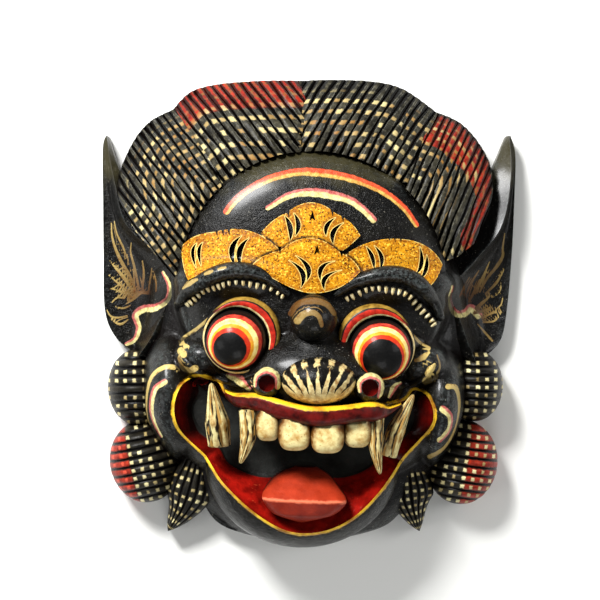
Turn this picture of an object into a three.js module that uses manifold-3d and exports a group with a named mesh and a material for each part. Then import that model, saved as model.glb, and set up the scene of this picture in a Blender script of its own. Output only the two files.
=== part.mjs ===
import * as THREE from 'three';
import { mergeVertices } from 'three/addons/utils/BufferGeometryUtils.js';
import Module from 'manifold-3d';

const wasm = await Module();
wasm.setup();

// A barong mask carved from one block of wood, lying on its back rim with the face up.
// Millimetres. +X is the viewer's right, +Y runs from the chin to the hair, +Z out of the face.
// The back rim is the plane z = 0, and the origin is under the middle of the outline.

const SAW = -6; // every form is carried down to here, then sawn off flat at the rim plane
const SKY = 130; // above the whole carving
const BLEND = 7; // how softly one swelling of the face runs into the next
const SPLINTER = 0.15; // edges shorter than this are drawn together after the cuts
const ROUNDING = 20; // how tightly the face rounds over at its edge: higher is tighter

// The swellings of the face: middle, half width, half height, height at the foot and at the top.
const SWELLINGS = [
  { x: 0, y: -16, across: 98, along: 122, foot: 15, top: 46 }, // plate
  { x: -41, y: 20, across: 36, along: 14, foot: 40, top: 66 }, // left brow
  { x: 47, y: 17, across: 36, along: 14, foot: 40, top: 66 }, // right brow
  { x: 3, y: -16, across: 17, along: 26, foot: 48, top: 71 }, // bridge of the nose
  { x: -60, y: -24, across: 17, along: 13, foot: 38, top: 61 }, // left cheekbone
  { x: 62, y: -27, across: 17, along: 13, foot: 38, top: 61 }, // right cheekbone
  { x: 4, y: -37, across: 50, along: 30, foot: 46, top: 80 }, // muzzle
  { x: -80, y: -48, across: 19, along: 38, foot: 20, top: 57 }, // left cheek
  { x: 76, y: -54, across: 18, along: 36, foot: 20, top: 57 }, // right cheek
  { x: -3, y: -62, across: 80, along: 40, foot: 26, top: 66 }, // ring of flesh round the mouth
  { x: 1.7, y: 18, across: 77, along: 76, foot: 44, top: 63, fall: 300 }, // forehead
];
const FALL = 28; // how fast a swelling drops away outside its foot, unless it says so itself
const JAW = { x: -4, y: -84, across: 55, along: 48.5, foot: 44, top: 74, fall: 300 }; // crisply edged

// The edge of the face, under the hair, the ears and the curls, and the chin below.
const FACE_MIDDLE = [0, -16];
const FACE_EDGE = [
  [2, 99], [54, 86], [84, 48], [92, 8], [94, -32], [87, -66], [72, -94], [56, -113], [44, -124],
  [22, -130.5], [-4, -135], [-30, -130.5], [-52, -123], [-64, -108], [-78, -88], [-94, -62], [-99, -30],
  [-94, 8], [-84, 48], [-52, 86],
];
const RIM_THICKNESS = 14; // height of the face's edge above the back rim
const CROWDING = 0.9; // below 1, the rings of the face lie closer together towards its edge

// The hair: a fan of four combed lobes round the forehead.
const HAIR = {
  middle: [1.7, 16.4],
  inner: 76, // radius where the lobes stop short of the forehead
  innerHeight: 50,
  edgeHeight: 17,
  reach: 56, // from the inner radius to where the outer edge's height is met
  curve: 1.7, // how late the hair drops on the way out
  sag: 4.5, // how much lower a lobe is along its sides
  notch: 5, // depth of the flutes at the forehead
  groove: 1.7, // depth of the flutes further out
  notchLength: 12,
  overlap: 1, // degrees by which a lobe reaches under its neighbour on the right
  rows: 3,
};
const LOBES = [
  {
    comb: 127, pitch: 4.2, bend: 0, // direction of the flutes in degrees, their spacing, their lean
    left: [[-76, 20], [-86, 32], [-100, 48], [-110, 66]],
    outer: [[-110, 66], [-110.8, 80.4], [-102.9, 99.7], [-93, 112], [-79.5, 119.5]],
    right: [[-79.5, 119.5], [-69.1, 105.6], [-50.5, 74.4]],
  },
  {
    comb: 127, pitch: 4.6, bend: 0,
    left: [[-50.5, 74.4], [-69.1, 105.6], [-79.5, 119.5]],
    outer: [[-79.5, 119.5], [-69.8, 129], [-55.5, 133.2], [-31, 134.6], [-7.5, 134.8]],
    right: [[-7.5, 134.8], [-3.4, 121], [-6.8, 91.6]],
  },
  {
    comb: 65, pitch: 4.8, bend: 0.0016,
    left: [[-6.8, 91.6], [-3.4, 121], [-7.5, 134.8]],
    outer: [[-7.5, 134.8], [12.3, 135], [36.2, 134.4], [54, 130.5], [72.9, 117.7]],
    right: [[72.9, 117.7], [66, 102], [56.2, 75.6]],
  },
  {
    comb: 71, pitch: 4.1, bend: 0.001,
    left: [[56.2, 75.6], [66, 102], [72.9, 117.7]],
    outer: [[72.9, 117.7], [88, 111], [99.4, 98], [105.8, 82], [104, 62], [95, 43]],
    right: [[95, 43], [84, 34], [75.9, 31]],
  },
];

// The ears: three lines from the lobe to the tip, the outer edge, the crest of the rim and the
// inner edge, which lies under the hair.
const EARS = [
  {
    outer: [[-102, -23], [-113, -14], [-119.5, 2], [-120.3, 35], [-120.6, 66], [-120.8, 96], [-119, 104]],
    crest: [[-98, -24], [-88, -8], [-80, 16], [-88, 34], [-106, 52], [-113.6, 80], [-118.3, 104]],
    inner: [[-94, -25], [-80, -10], [-70, 14], [-78, 40], [-98, 58], [-110, 82], [-117.6, 104]],
  },
  {
    outer: [[100, -27], [110.5, -18], [115, -4], [118.5, 32], [120, 62], [120.8, 92], [118, 104]],
    crest: [[96, -28], [89, -10], [83, 14], [96, 31], [111, 50], [117, 78], [116.8, 104]],
    inner: [[92, -28], [79, -10], [72, 14], [80, 32], [97, 50], [105, 78], [115.5, 104]],
  },
];
// Heights along the ear, how far its bowl is hollowed, and the crest's share of the way across.
const EAR = {
  edge: 12, edgeTip: 12, crest: 31, tip: 15, inner: 27, innerTip: 10, hollow: 4, steep: 2.2, crestAt: 0.7,
};

// The curls beside the cheeks: middle, half width, half height, turn in degrees, number of flutes.
const CURLS = [
  { x: -100, y: -43, across: 17.6, along: 22.5, turn: 2, flutes: 9 },
  { x: -96, y: -86.5, across: 20.4, along: 24, turn: 12, flutes: 10 },
  { x: 96.5, y: -42, across: 16.8, along: 21, turn: -2, flutes: 9 },
  { x: 89.5, y: -87, across: 20.6, along: 24.5, turn: -9, flutes: 10 },
];
const CURL = { top: 36, edge: 13, groove: 1.5, full: 0.98 }; // full: short of 1, it has no needle at its ends

// The pointed locks under the jaw, each from its root to its tip.
const LOCKS = [
  { line: [[-62, -74], [-67, -94], [-73, -112], [-82.5, -127]], flutes: 6 },
  { line: [[56, -78], [58, -96], [60, -112], [64.5, -127]], flutes: 6 },
];
// A lock is a share of its full width at its root, widens fast, and narrows to its tip.
const LOCK = { half: 13.5, root: 0.35, widening: 1.5, narrowing: 2.1, point: 0.05, top: 32, tip: 14,
  crown: 7, groove: 1.2 };

// The gold leaves of the crown, drawn as arcs: each pair is an arc's pull and its end.
const LEAVES = [
  {
    rise: 3.2, start: [-27.5, 45], // the leaf behind, at the top
    arcs: [[-21, 53.5, -12.8, 56.6], [1.1, 68.5, 14.5, 56.4], [24, 52.5, 28.4, 43.9], [0, 14, -27.5, 45]],
    cuts: [
      [-13.8, 55.1, -10.8, 48.6, -10.8, 41, 2.2], [-8.8, 56.6, -6.2, 50.1, -8, 43.5, 2],
      [14.6, 54, 9.8, 49.6, 9.3, 43.5, -2], [19.1, 51.1, 13.4, 46.2, 13.3, 39, -2.2],
    ],
    tick: [1.6, 58],
  },
  {
    rise: 4.2, start: [-14, 33], // left
    arcs: [
      [-30, 52.5, -52.9, 46.2], [-66, 45.5, -72.1, 38.4], [-72.5, 28, -67.9, 19], [-52, 27.5, -33, 25.5],
      [-22, 24, -14, 33],
    ],
    cuts: [
      [-37.7, 44, -43.2, 36.6, -41.2, 26, -2.4], [-33.7, 42.6, -38.9, 35.6, -38.2, 26, -2.4],
      [-63.2, 40, -65.6, 34.6, -63.4, 26, -1.5], [-59.6, 40.4, -62, 35.4, -60.6, 27, -1.5],
    ],
  },
  {
    rise: 4.2, start: [16, 30], // right
    arcs: [
      [33, 45.5, 57, 41.4], [70, 38.5, 75, 28], [72, 20, 66.9, 15.4], [50, 26.5, 32, 22], [22, 20, 16, 30],
    ],
    cuts: [
      [31.5, 38, 34.8, 32.2, 36, 25, 1.8], [36, 38.4, 40.1, 32, 39.2, 25, 1.8],
      [61.9, 38, 62.6, 28.2, 58.7, 22, 1.8], [65.8, 33.4, 65.2, 25.6, 61.3, 19, 1.8],
    ],
  },
  {
    rise: 6.4, start: [-32, 27.4], // the leaf in front
    arcs: [
      [-25, 34.6, -16.4, 35.2], [0.2, 50.4, 17.5, 33.9], [25, 31.5, 28.3, 23.9], [18, 12, 2, 11.6],
      [-10, 12, -32, 27.4],
    ],
    cuts: [
      [-7.8, 32.7, -1, 26.3, -1.6, 18.5, 2.2], [-11.6, 30.1, -4, 23.3, -4.8, 14.6, 2.2],
      [14.1, 29.6, 6.9, 26.3, 6.1, 18.5, -2.2], [17.9, 24.6, 9, 20.7, 8.3, 13.4, -2.2],
    ],
    tick: [4.2, 39],
  },
];

const LEAF_SPAN = { left: -76, right: 78, foot: 8, top: 66 }; // what the sheet under the leaves covers
const TICK = [[0, 0], [1.8, -6], [0, -4.6], [-1.8, -6]]; // the small arrowhead cut in a leaf

// The brows: a rope-like ridge over each eye.
const BROWS = [
  [[-76, 2], [-68, 13], [-52, 22.2], [-38, 24.4], [-24, 21], [-11, 10.5]],
  [[13, 10.5], [26, 18.4], [44, 22.4], [58, 19], [69, 8.5], [75, -4]],
];
const BROW = { half: 5, height: 7, lift: 1.5, ends: 0.45 }; // ends: their share of the full width

// The eyes: the circle of the lid, and the eyeball that bulges through it off its middle.
const EYES = [
  { x: -36.9, y: -10.9, ballX: -41, ballY: -14.4, ball: 17, lean: 1 },
  { x: 36.3, y: -14.8, ballX: 39.6, ballY: -19.9, ball: 17.4, lean: -1 },
];
const EYE = { middle: 64.5, lid: 20.8, lidHeight: 62.5, lidThick: 5, lidThin: 1.8 };
// The outer corner of an eye: where it starts and ends, and its half widths and half heights there.
const CORNER = { from: 16.8, to: 36, wide: [9, 1], high: [5, 2], drop: 1 };

const KNOB = { x: 2.2, y: -2, radius: 13.2, middle: 70 };
const NOSE = { x: 4.9, y: -36.5, across: 20.5, along: 13, out: 17, middle: 78.4 };
const NOSTRILS = [[-23.5, -37.5], [33, -40]];
const NOSTRIL = { radius: 8.2, middle: 78, hole: 4.6, depth: 8 };

// The upper lip: its upper and lower edge from corner to corner.
const LIP = {
  upper: [
    [-47, -42], [-41, -43.6], [-30, -43.3], [-20, -45.5], [-10.7, -48], [-1.4, -49.8], [8, -50],
    [19, -49.4], [27, -48.5], [34.3, -47.8], [40, -49.2], [44, -50.8], [51, -49.5],
  ],
  lower: [
    [-47, -46.5], [-41, -51.2], [-30, -54.2], [-20, -57.3], [-10.7, -59], [-1.4, -61], [8, -61.8],
    [19, -60.2], [27, -59], [34.3, -59.2], [40, -57.8], [44, -56], [51, -51],
  ],
  corner: 64,
  front: 87,
  roll: 4.5,
  fullness: 0.75, // below 1, the lip comes forward sooner from its corners
};

// The mouth: its outline, and the edge of the dark cavity inside it, point for point.
const MOUTH_MIDDLE = [-2, -78];
const MOUTH_EDGE = [
  [-45.6, -46], [-52, -38.4], [-63.4, -35.5], [-72.5, -41], [-75.9, -54], [-71.8, -67.1], [-58.4, -80],
  [-47.8, -94.5], [-29.5, -111.1], [-11.1, -121.1], [7.2, -121.1], [24, -113.5], [39.1, -99.1],
  [53.8, -79.8], [66.5, -66], [69.8, -56.8], [66.5, -46.5], [59.3, -43.2], [52.5, -49], [32, -52],
  [5, -55], [-25, -50],
];
const CAVITY_EDGE = [
  [-43, -51], [-50, -49], [-58, -46], [-64, -49], [-66, -56], [-62, -65], [-51, -75],
  [-45, -85], [-29, -91.5], [-11, -90.5], [6, -91], [20, -91.5], [33, -87],
  [43, -77], [54, -68], [58, -61], [57, -55], [53, -53], [48, -55], [30, -58],
  [5, -60], [-24, -57],
];
const MOUTH = { cavity: 40, back: 36, around: 44 }; // heights of the cavity's edge and back

// Teeth of the upper jaw: middle, width, height, and how far forward the middle is.
const TEETH = [
  { x: -23, y: -58.8, wide: 13, high: 20.6, forward: 74 },
  { x: -8.3, y: -63, wide: 17.2, high: 22.2, forward: 77.5 },
  { x: 9.7, y: -64.4, wide: 17.8, high: 22.4, forward: 78 },
  { x: 26.3, y: -62, wide: 14.8, high: 21.4, forward: 74 },
];
const TOOTH = { deep: 18, square: 3.2, full: 1.06 };

// Fangs and tusks, each from its thick root to its point: [x, y, z] along it, then half widths.
const HORNS = [
  { line: [[-34.5, -52, 74], [-34, -68, 77], [-38.2, -82, 77]], half: [5.2, 4.4, 0.8] }, // left fang
  { line: [[37.2, -54, 72], [36.4, -72, 76], [38.8, -88, 76]], half: [4.6, 4, 0.8] }, // right fang
  { line: [[-50.5, -74.5, 58], [-51.4, -60, 64], [-54.6, -38, 68]], half: [6.4, 7, 0.9] }, // left tusk
  { line: [[44, -80, 58], [48.5, -64, 63], [58, -44.5, 66]], half: [5.2, 5.2, 0.9] }, // right tusk
];
const HORN_DEPTH = 1.35; // a fang is this much deeper than wide

const TONGUE = {
  left: [[-8, -86.5], [-18, -90.5], [-24.5, -97], [-26.1, -102.5], [-20, -111], [-8, -116]],
  right: [[4, -87], [11, -91], [17, -98], [20.4, -104.5], [13, -112], [-2, -116.4]],
  height: [50, 62, 71, 77, 73, 62],
  crown: 3,
  lip: 5,
};

// The hollow back, in two overlapping bowls: middle, half width, half height, depth.
const HOLLOWS = [
  { x: 0, y: 20, across: 82, along: 76, deep: 44 },
  { x: 0, y: -60, across: 66, along: 60, deep: 24 },
];

// ---------------------------------------------------------------- helpers

const mix = THREE.MathUtils.lerp;
const { clamp } = THREE.MathUtils;
const degrees = THREE.MathUtils.degToRad;
const spline = (points) => new THREE.SplineCurve(points.map(([x, y]) => new THREE.Vector2(x, y)));
const closedSpline = (points) =>
  new THREE.CatmullRomCurve3(points.map(([x, y]) => new THREE.Vector3(x, y, 0)), true);

// A closed geometry as a solid, its faces turned outwards.
function solid(geometry) {
  geometry.deleteAttribute('normal');
  geometry.deleteAttribute('uv');
  const merged = mergeVertices(geometry, 1e-4);
  const vertProperties = new Float32Array(merged.getAttribute('position').array);
  const corners = Array.from(merged.index.array);
  const triangles = [];
  let volume = 0;
  const corner = (i) => new THREE.Vector3().fromArray(vertProperties, 3 * i);
  for (let i = 0; i < corners.length; i += 3) {
    const [a, b, c] = corners.slice(i, i + 3);
    if (a === b || b === c || c === a) continue;
    triangles.push([a, b, c]);
    volume += corner(a).dot(corner(b).cross(corner(c)));
  }
  const triVerts = new Uint32Array(triangles.map((t) => (volume < 0 ? t.reverse() : t)).flat());
  return new wasm.Manifold(new wasm.Mesh({ numProp: 3, vertProperties, triVerts }));
}

// A block with a shaped top: surface(u, v) gives the top, and the block goes straight down from it.
function block(columns, rows, surface) {
  const geometry = new THREE.BoxGeometry(1, 1, 1, columns, rows, 1);
  const position = geometry.getAttribute('position');
  for (let i = 0; i < position.count; i += 1) {
    const [x, y, z] = surface(position.getX(i) + 0.5, position.getY(i) + 0.5);
    position.setXYZ(i, x, y, position.getZ(i) > 0 ? z : SAW);
  }
  return solid(geometry);
}

// A shape made of rings: over(turn, t) is its upper side from the middle (t = 0) to the edge (t = 1),
// and under(turn, t) its lower side.
function rings(around, count, over, under) {
  const geometry = new THREE.SphereGeometry(1, around, 2 * count);
  const position = geometry.getAttribute('position');
  const uv = geometry.getAttribute('uv');
  for (let i = 0; i < position.count; i += 1) {
    const ring = Math.round((1 - uv.getY(i)) * 2 * count);
    const turn = Math.round(uv.getX(i) * around) / around;
    const point = ring <= count ? over(turn, ring / count) : under(turn, (2 * count - ring) / (count - 1));
    position.setXYZ(i, ...point);
  }
  return solid(geometry);
}

// An upright prism of a flat outline.
function prism(shape, from = SAW, to = SKY, curveSegments = 3) {
  const geometry = new THREE.ExtrudeGeometry(shape, { depth: to - from, bevelEnabled: false, curveSegments });
  geometry.translate(0, 0, from);
  return solid(geometry);
}

function box(from, to) {
  const geometry = new THREE.BoxGeometry(to[0] - from[0], to[1] - from[1], to[2] - from[2]);
  geometry.translate((from[0] + to[0]) / 2, (from[1] + to[1]) / 2, (from[2] + to[2]) / 2);
  return solid(geometry);
}

function ball(middle, halves, around, count) {
  const geometry = new THREE.SphereGeometry(1, around, count);
  geometry.rotateX(Math.PI / 2);
  geometry.scale(...halves);
  geometry.translate(...middle);
  return solid(geometry);
}

const union = (solids) => solids.reduce((whole, next) => whole.add(next));

// The larger of two heights, rounded where they meet.
function softMax(a, b, blend) {
  const near = Math.max(blend - Math.abs(a - b), 0) / blend;
  return Math.max(a, b) + (near * near * blend) / 4;
}

function swell({ x, y, across, along, foot, top, fall = FALL }, px, py) {
  const away = Math.hypot((px - x) / across, (py - y) / along);
  return away < 1 ? foot + (top - foot) * Math.sqrt(1 - away * away) : foot - fall * (away - 1);
}

// The height of the smooth face at a place, without the jaw and with it.
const browToChin = (x, y) =>
  SWELLINGS.map((s) => swell(s, x, y)).reduce((whole, next) => softMax(whole, next, BLEND), 0);
const faceHeight = (x, y) => Math.max(browToChin(x, y), swell(JAW, x, y));

// The solid with every edge shorter than SPLINTER drawn together to one corner.
function withoutSplinters(shape) {
  const { vertProperties, triVerts } = shape.getMesh();
  const corner = (i) => new THREE.Vector3().fromArray(vertProperties, 3 * i);
  const home = Array.from({ length: vertProperties.length / 3 }, (_, i) => i);
  const find = (i) => (home[i] === i ? i : find(home[i]));
  let triangles = [];
  for (let i = 0; i < triVerts.length; i += 3) triangles.push([...triVerts.slice(i, i + 3)]);
  triangles.forEach((triangle) => triangle.forEach((point, k) => {
    const [a, b] = [find(point), find(triangle[(k + 1) % 3])];
    if (a !== b && corner(a).distanceTo(corner(b)) < SPLINTER) home[Math.max(a, b)] = Math.min(a, b);
  }));
  triangles = triangles.map((triangle) => triangle.map(find)).filter((t) => new Set(t).size === 3);
  // Two triangles on the same three corners are a folded flap, and both go.
  const key = (triangle) => [...triangle].sort((a, b) => a - b).join();
  const times = new Map();
  triangles.forEach((t) => times.set(key(t), (times.get(key(t)) ?? 0) + 1));
  const kept = new Uint32Array(triangles.filter((t) => times.get(key(t)) === 1).flat());
  return new wasm.Manifold(new wasm.Mesh({ numProp: 3, vertProperties, triVerts: kept }));
}

function geometryOf(shape) {
  const { vertProperties, triVerts } = shape.getMesh();
  const geometry = new THREE.BufferGeometry();
  geometry.setAttribute('position', new THREE.BufferAttribute(vertProperties, 3));
  geometry.setIndex(new THREE.BufferAttribute(triVerts, 1));
  return geometry;
}

// ---------------------------------------------------------------- the forms

function face() {
  const edge = closedSpline(FACE_EDGE);
  const place = (turn, t) => {
    const end = edge.getPoint(turn % 1);
    return [mix(FACE_MIDDLE[0], end.x, t), mix(FACE_MIDDLE[1], end.y, t)];
  };
  const over = (turn, ring) => {
    const t = ring ** CROWDING;
    const [x, y] = place(turn, t);
    const edgeRound = Math.sqrt(1 - t ** ROUNDING);
    return [x, y, RIM_THICKNESS + (browToChin(x, y) - RIM_THICKNESS) * edgeRound];
  };
  const under = (turn, t) => [...place(turn, t), SAW];
  return rings(48, 12, over, under);
}

function jaw() {
  const place = (turn, t) => {
    const angle = 2 * Math.PI * turn;
    return [JAW.x + JAW.across * t * Math.cos(angle), JAW.y + JAW.along * t * Math.sin(angle)];
  };
  const over = (turn, ring) => {
    const [x, y] = place(turn, Math.sin((ring * Math.PI) / 2));
    return [x, y, swell(JAW, x, y)];
  };
  const under = (turn, t) => [...place(turn, t), SAW];
  return rings(32, 5, over, under);
}

// The height of the hair without its flutes: high at the forehead, low at the outer edge and sides.
function hairHeight(x, y, from, to) {
  const [cx, cy] = HAIR.middle;
  const radius = Math.hypot(x - cx, y - cy);
  const angle = Math.atan2(y - cy, x - cx);
  const outwards = clamp((radius - HAIR.inner) / HAIR.reach, 0, 1);
  const sideways = clamp((2 * (angle - from)) / (to - from) - 1, -1, 1);
  return mix(HAIR.innerHeight, HAIR.edgeHeight, outwards ** HAIR.curve) - HAIR.sag * sideways ** 4;
}

function lobe({ comb, pitch, bend, left, outer, right }) {
  const [cx, cy] = HAIR.middle;
  const angleOf = ([x, y]) => Math.atan2(y - cy, x - cx);
  const from = angleOf(right[1]);
  const to = angleOf(left[1]);
  // The outline, from the forehead out along the left side, round, and back to the forehead.
  const shape = new THREE.Shape();
  const side = left[0][1] > left.at(-1)[1] ? [...left].reverse() : left;
  side.forEach(([x, y], i) => (i === 0 ? shape.moveTo(x, y) : shape.lineTo(x, y)));
  shape.splineThru(outer.slice(1).map(([x, y]) => new THREE.Vector2(x, y)));
  const centre = new THREE.Vector2(cx, cy);
  const turned = (p) => new THREE.Vector2(...p).rotateAround(centre, -degrees(HAIR.overlap));
  right.map(turned).forEach((p) => shape.lineTo(p.x, p.y));
  const last = angleOf(right.at(-1)) - degrees(HAIR.overlap);
  const first = angleOf(side[0]);
  for (let i = 1; i < 8; i += 1) {
    const angle = mix(last, first, i / 8);
    shape.lineTo(cx + HAIR.inner * Math.cos(angle), cy + HAIR.inner * Math.sin(angle));
  }
  // The comb: parallel flutes across a block that covers the outline.
  const along = new THREE.Vector2(Math.cos(degrees(comb)), Math.sin(degrees(comb)));
  const across = new THREE.Vector2(along.y, -along.x);
  const outline = shape.getPoints(4);
  const reach = (axis) => outline.map((p) => p.dot(axis));
  const [low, high] = [Math.min(...reach(across)) - pitch, Math.max(...reach(across)) + pitch];
  const [near, far] = [Math.min(...reach(along)) - 2, Math.max(...reach(along)) + 2];
  const flutes = Math.ceil((high - low) / pitch) + 3;
  const columns = 2 * flutes;
  const combed = block(columns, HAIR.rows, (u, v) => {
    const column = Math.round(u * columns);
    const s = mix(near, far, v);
    const t = low - pitch * 1.5 + (column / 2) * pitch + bend * (s - near) ** 2;
    const x = across.x * t + along.x * s;
    const y = across.y * t + along.y * s;
    const radius = Math.hypot(x - cx, y - cy);
    const depth = mix(HAIR.notch, HAIR.groove, clamp((radius - HAIR.inner) / HAIR.notchLength, 0, 1));
    return [x, y, hairHeight(x, y, from, to) - (column % 2 === 0 ? depth : 0)];
  });
  return combed.intersect(prism(shape));
}

function ear({ outer, crest, inner }) {
  const lines = [spline(outer), spline(crest), spline(inner)];
  return block(10, 14, (u, v) => {
    const [a, b, c] = lines.map((line) => line.getPoint(v));
    const inBowl = u <= EAR.crestAt;
    const s = inBowl ? u / EAR.crestAt : (u - EAR.crestAt) / (1 - EAR.crestAt);
    const x = inBowl ? mix(a.x, b.x, s) : mix(b.x, c.x, s);
    const y = inBowl ? mix(a.y, b.y, s) : mix(b.y, c.y, s);
    const crestHeight = mix(EAR.crest, EAR.tip, v ** 3);
    const edgeHeight = mix(EAR.edge, EAR.edgeTip, v);
    const hollow = EAR.hollow * Math.sin(Math.PI * s) * (1 - v);
    const bowl = mix(edgeHeight, crestHeight, s ** EAR.steep) - hollow;
    return [x, y, inBowl ? bowl : mix(crestHeight, mix(EAR.inner, EAR.innerTip, v ** 3), s)];
  });
}

function curl({ x: cx, y: cy, across, along, turn, flutes }) {
  const rows = 2 * flutes;
  const [c, s] = [Math.cos(degrees(turn)), Math.sin(degrees(turn))];
  return block(6, rows, (u, v) => {
    const row = Math.round(v * rows);
    const h = CURL.full * (2 * v - 1);
    const half = Math.sqrt(1 - h * h);
    const w = Math.sin((Math.PI / 2) * (2 * u - 1));
    const dome = half * Math.sqrt(Math.max(1 - w * w, 0));
    const groove = row % 2 === 0 ? CURL.groove : 0;
    const [px, py] = [across * half * w, along * h];
    return [cx + c * px - s * py, cy + s * px + c * py, mix(CURL.edge, CURL.top, dome) - groove];
  });
}

function lock({ line, flutes }) {
  const middle = spline(line);
  const columns = 2 * flutes;
  return block(columns, 6, (u, v) => {
    const p = middle.getPoint(v);
    const t = middle.getTangent(v);
    const w = 2 * u - 1;
    const widening = Math.min(1, LOCK.root + LOCK.widening * v);
    const half = LOCK.half * widening * Math.min(1, LOCK.point + LOCK.narrowing * (1 - v));
    const crown = mix(LOCK.top, LOCK.tip, v ** 2) - LOCK.crown * w * w;
    const groove = Math.round(u * columns) % 2 === 0 ? LOCK.groove : 0;
    return [p.x - t.y * w * half, p.y + t.x * w * half, crown - groove];
  });
}

// A thin crescent cut between two arcs from top to foot, past a place it bulges to.
function crescent([x1, y1, x2, y2, x3, y3, width]) {
  const pull = [2 * x2 - (x1 + x3) / 2, 2 * y2 - (y1 + y3) / 2];
  const shape = new THREE.Shape();
  shape.moveTo(x1, y1);
  shape.quadraticCurveTo(pull[0] + width, pull[1], x3, y3);
  shape.quadraticCurveTo(pull[0] - width, pull[1], x1, y1);
  return prism(shape, SAW, SKY, 2);
}

function leaf({ rise, start, arcs, cuts, tick }) {
  const cover = block(9, 4, (u, v) => {
    const x = mix(LEAF_SPAN.left, LEAF_SPAN.right, u);
    const y = mix(LEAF_SPAN.foot, LEAF_SPAN.top, v);
    return [x, y, faceHeight(x, y) + rise];
  });
  const shape = new THREE.Shape();
  shape.moveTo(...start);
  arcs.forEach((arc) => shape.quadraticCurveTo(...arc));
  let knife = union(cuts.map(crescent));
  if (tick) {
    const [x, y] = tick;
    const wedge = new THREE.Shape(TICK.map(([dx, dy]) => new THREE.Vector2(x + dx, y + dy)));
    knife = knife.add(prism(wedge));
  }
  return prism(shape).intersect(cover).subtract(knife);
}

// A closed bar of oval section along a line: point(s) gives its middle, half its half width in the
// plane of the face and its half height out of it.
function bar(sides, steps, point, half) {
  const geometry = new THREE.CylinderGeometry(1, 1, 1, sides, steps);
  const position = geometry.getAttribute('position');
  for (let i = 0; i < position.count; i += 1) {
    const s = position.getY(i) + 0.5;
    const here = point(s);
    const ahead = point(Math.min(s + 0.01, 1));
    const behind = point(Math.max(s - 0.01, 0));
    const run = Math.hypot(ahead.x - behind.x, ahead.y - behind.y) || 1;
    const [nx, ny] = [-(ahead.y - behind.y) / run, (ahead.x - behind.x) / run];
    const [wide, tall] = half(s);
    const w = position.getX(i) * wide;
    position.setXYZ(i, here.x + nx * w, here.y + ny * w, here.z + position.getZ(i) * tall);
  }
  return solid(geometry);
}

function brow(points) {
  const line = spline(points);
  const point = (s) => {
    const p = line.getPoint(s);
    return new THREE.Vector3(p.x, p.y, faceHeight(p.x, p.y) + BROW.lift);
  };
  const taper = (s) => mix(BROW.ends, 1, Math.sin(Math.PI * s));
  return bar(6, 9, point, (s) => [BROW.half * taper(s), BROW.height * taper(s)]);
}

// The lid runs from the eyeball out to its own circle, so it is broad where the two are far apart.
function eyelid({ x, y, ballX, ballY, ball: radius }) {
  const geometry = new THREE.TorusGeometry(2, 1, 6, 22);
  const position = geometry.getAttribute('position');
  for (let i = 0; i < position.count; i += 1) {
    const spoke = Math.hypot(position.getX(i), position.getY(i));
    const [c, s] = [position.getX(i) / spoke, position.getY(i) / spoke];
    const inner = (ballX - x) * c + (ballY - y) * s + radius;
    const half = Math.max((EYE.lid - inner) / 2, EYE.lidThin);
    const out = (EYE.lid + inner) / 2 + (spoke - 2) * half;
    position.setXYZ(i, x + c * out, y + s * out, EYE.lidHeight + position.getZ(i) * EYE.lidThick);
  }
  return solid(geometry);
}

function eye(one) {
  const { x, y, ballX, ballY, ball: radius, lean } = one;
  const globe = ball([ballX, ballY, EYE.middle], [radius, radius, radius], 14, 8);
  // The outer corner of the eye runs out to a point.
  const end = faceHeight(x - lean * CORNER.to, y) - CORNER.drop;
  const corner = (s) => new THREE.Vector3(
    x - lean * mix(CORNER.from, CORNER.to, s), y - CORNER.drop * (1 + s), mix(EYE.lidHeight, end, s));
  const point = bar(6, 4, corner, (s) => [mix(...CORNER.wide, Math.sqrt(s)), mix(...CORNER.high, s)]);
  return union([eyelid(one), point, globe]);
}

function nose() {
  const tip = ball([NOSE.x, NOSE.y, NOSE.middle], [NOSE.across, NOSE.along, NOSE.out], 14, 6);
  const wing = ([x, y]) => {
    const hole = new THREE.CylinderGeometry(NOSTRIL.hole, NOSTRIL.hole, 2 * NOSTRIL.depth, 8);
    hole.rotateX(Math.PI / 2);
    hole.translate(x, y, NOSTRIL.middle + NOSTRIL.radius);
    const r = NOSTRIL.radius;
    return ball([x, y, NOSTRIL.middle], [r, r, r], 8, 6).subtract(solid(hole));
  };
  const bulb = [KNOB.radius, KNOB.radius, KNOB.radius];
  return union([tip, ball([KNOB.x, KNOB.y, KNOB.middle], bulb, 12, 8), ...NOSTRILS.map(wing)]);
}

function upperLip() {
  const [upper, lower] = [spline(LIP.upper), spline(LIP.lower)];
  return block(14, 3, (u, v) => {
    const a = lower.getPoint(u);
    const b = upper.getPoint(u);
    const front = mix(LIP.corner, LIP.front, Math.sin(Math.PI * u) ** LIP.fullness);
    const roll = LIP.roll * (Math.sin(Math.PI * v) - (v === 0 ? 1 : 0));
    return [mix(a.x, b.x, v), mix(a.y, b.y, v), front + roll];
  });
}

// What is cut away for the mouth: a slope from the outline to the cavity, and the cavity's back.
function mouth() {
  const [edge, cavity] = [closedSpline(MOUTH_EDGE), closedSpline(CAVITY_EDGE)];
  const over = (turn, t) => {
    const p = edge.getPoint(turn % 1);
    return [mix(MOUTH_MIDDLE[0], p.x, t), mix(MOUTH_MIDDLE[1], p.y, t), SKY];
  };
  const under = (turn, t) => {
    const p = edge.getPoint(turn % 1);
    const q = cavity.getPoint(turn % 1);
    const rim = faceHeight(p.x, p.y) - 1;
    const slope = clamp(2 * (1 - t), 0, 1);
    const inwards = clamp(2 * t, 0, 1);
    const x = mix(MOUTH_MIDDLE[0], mix(p.x, q.x, slope), inwards);
    const y = mix(MOUTH_MIDDLE[1], mix(p.y, q.y, slope), inwards);
    return [x, y, t < 0.5 ? MOUTH.back : mix(rim, MOUTH.cavity, slope)];
  };
  return rings(MOUTH.around, 3, over, under);
}

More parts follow.
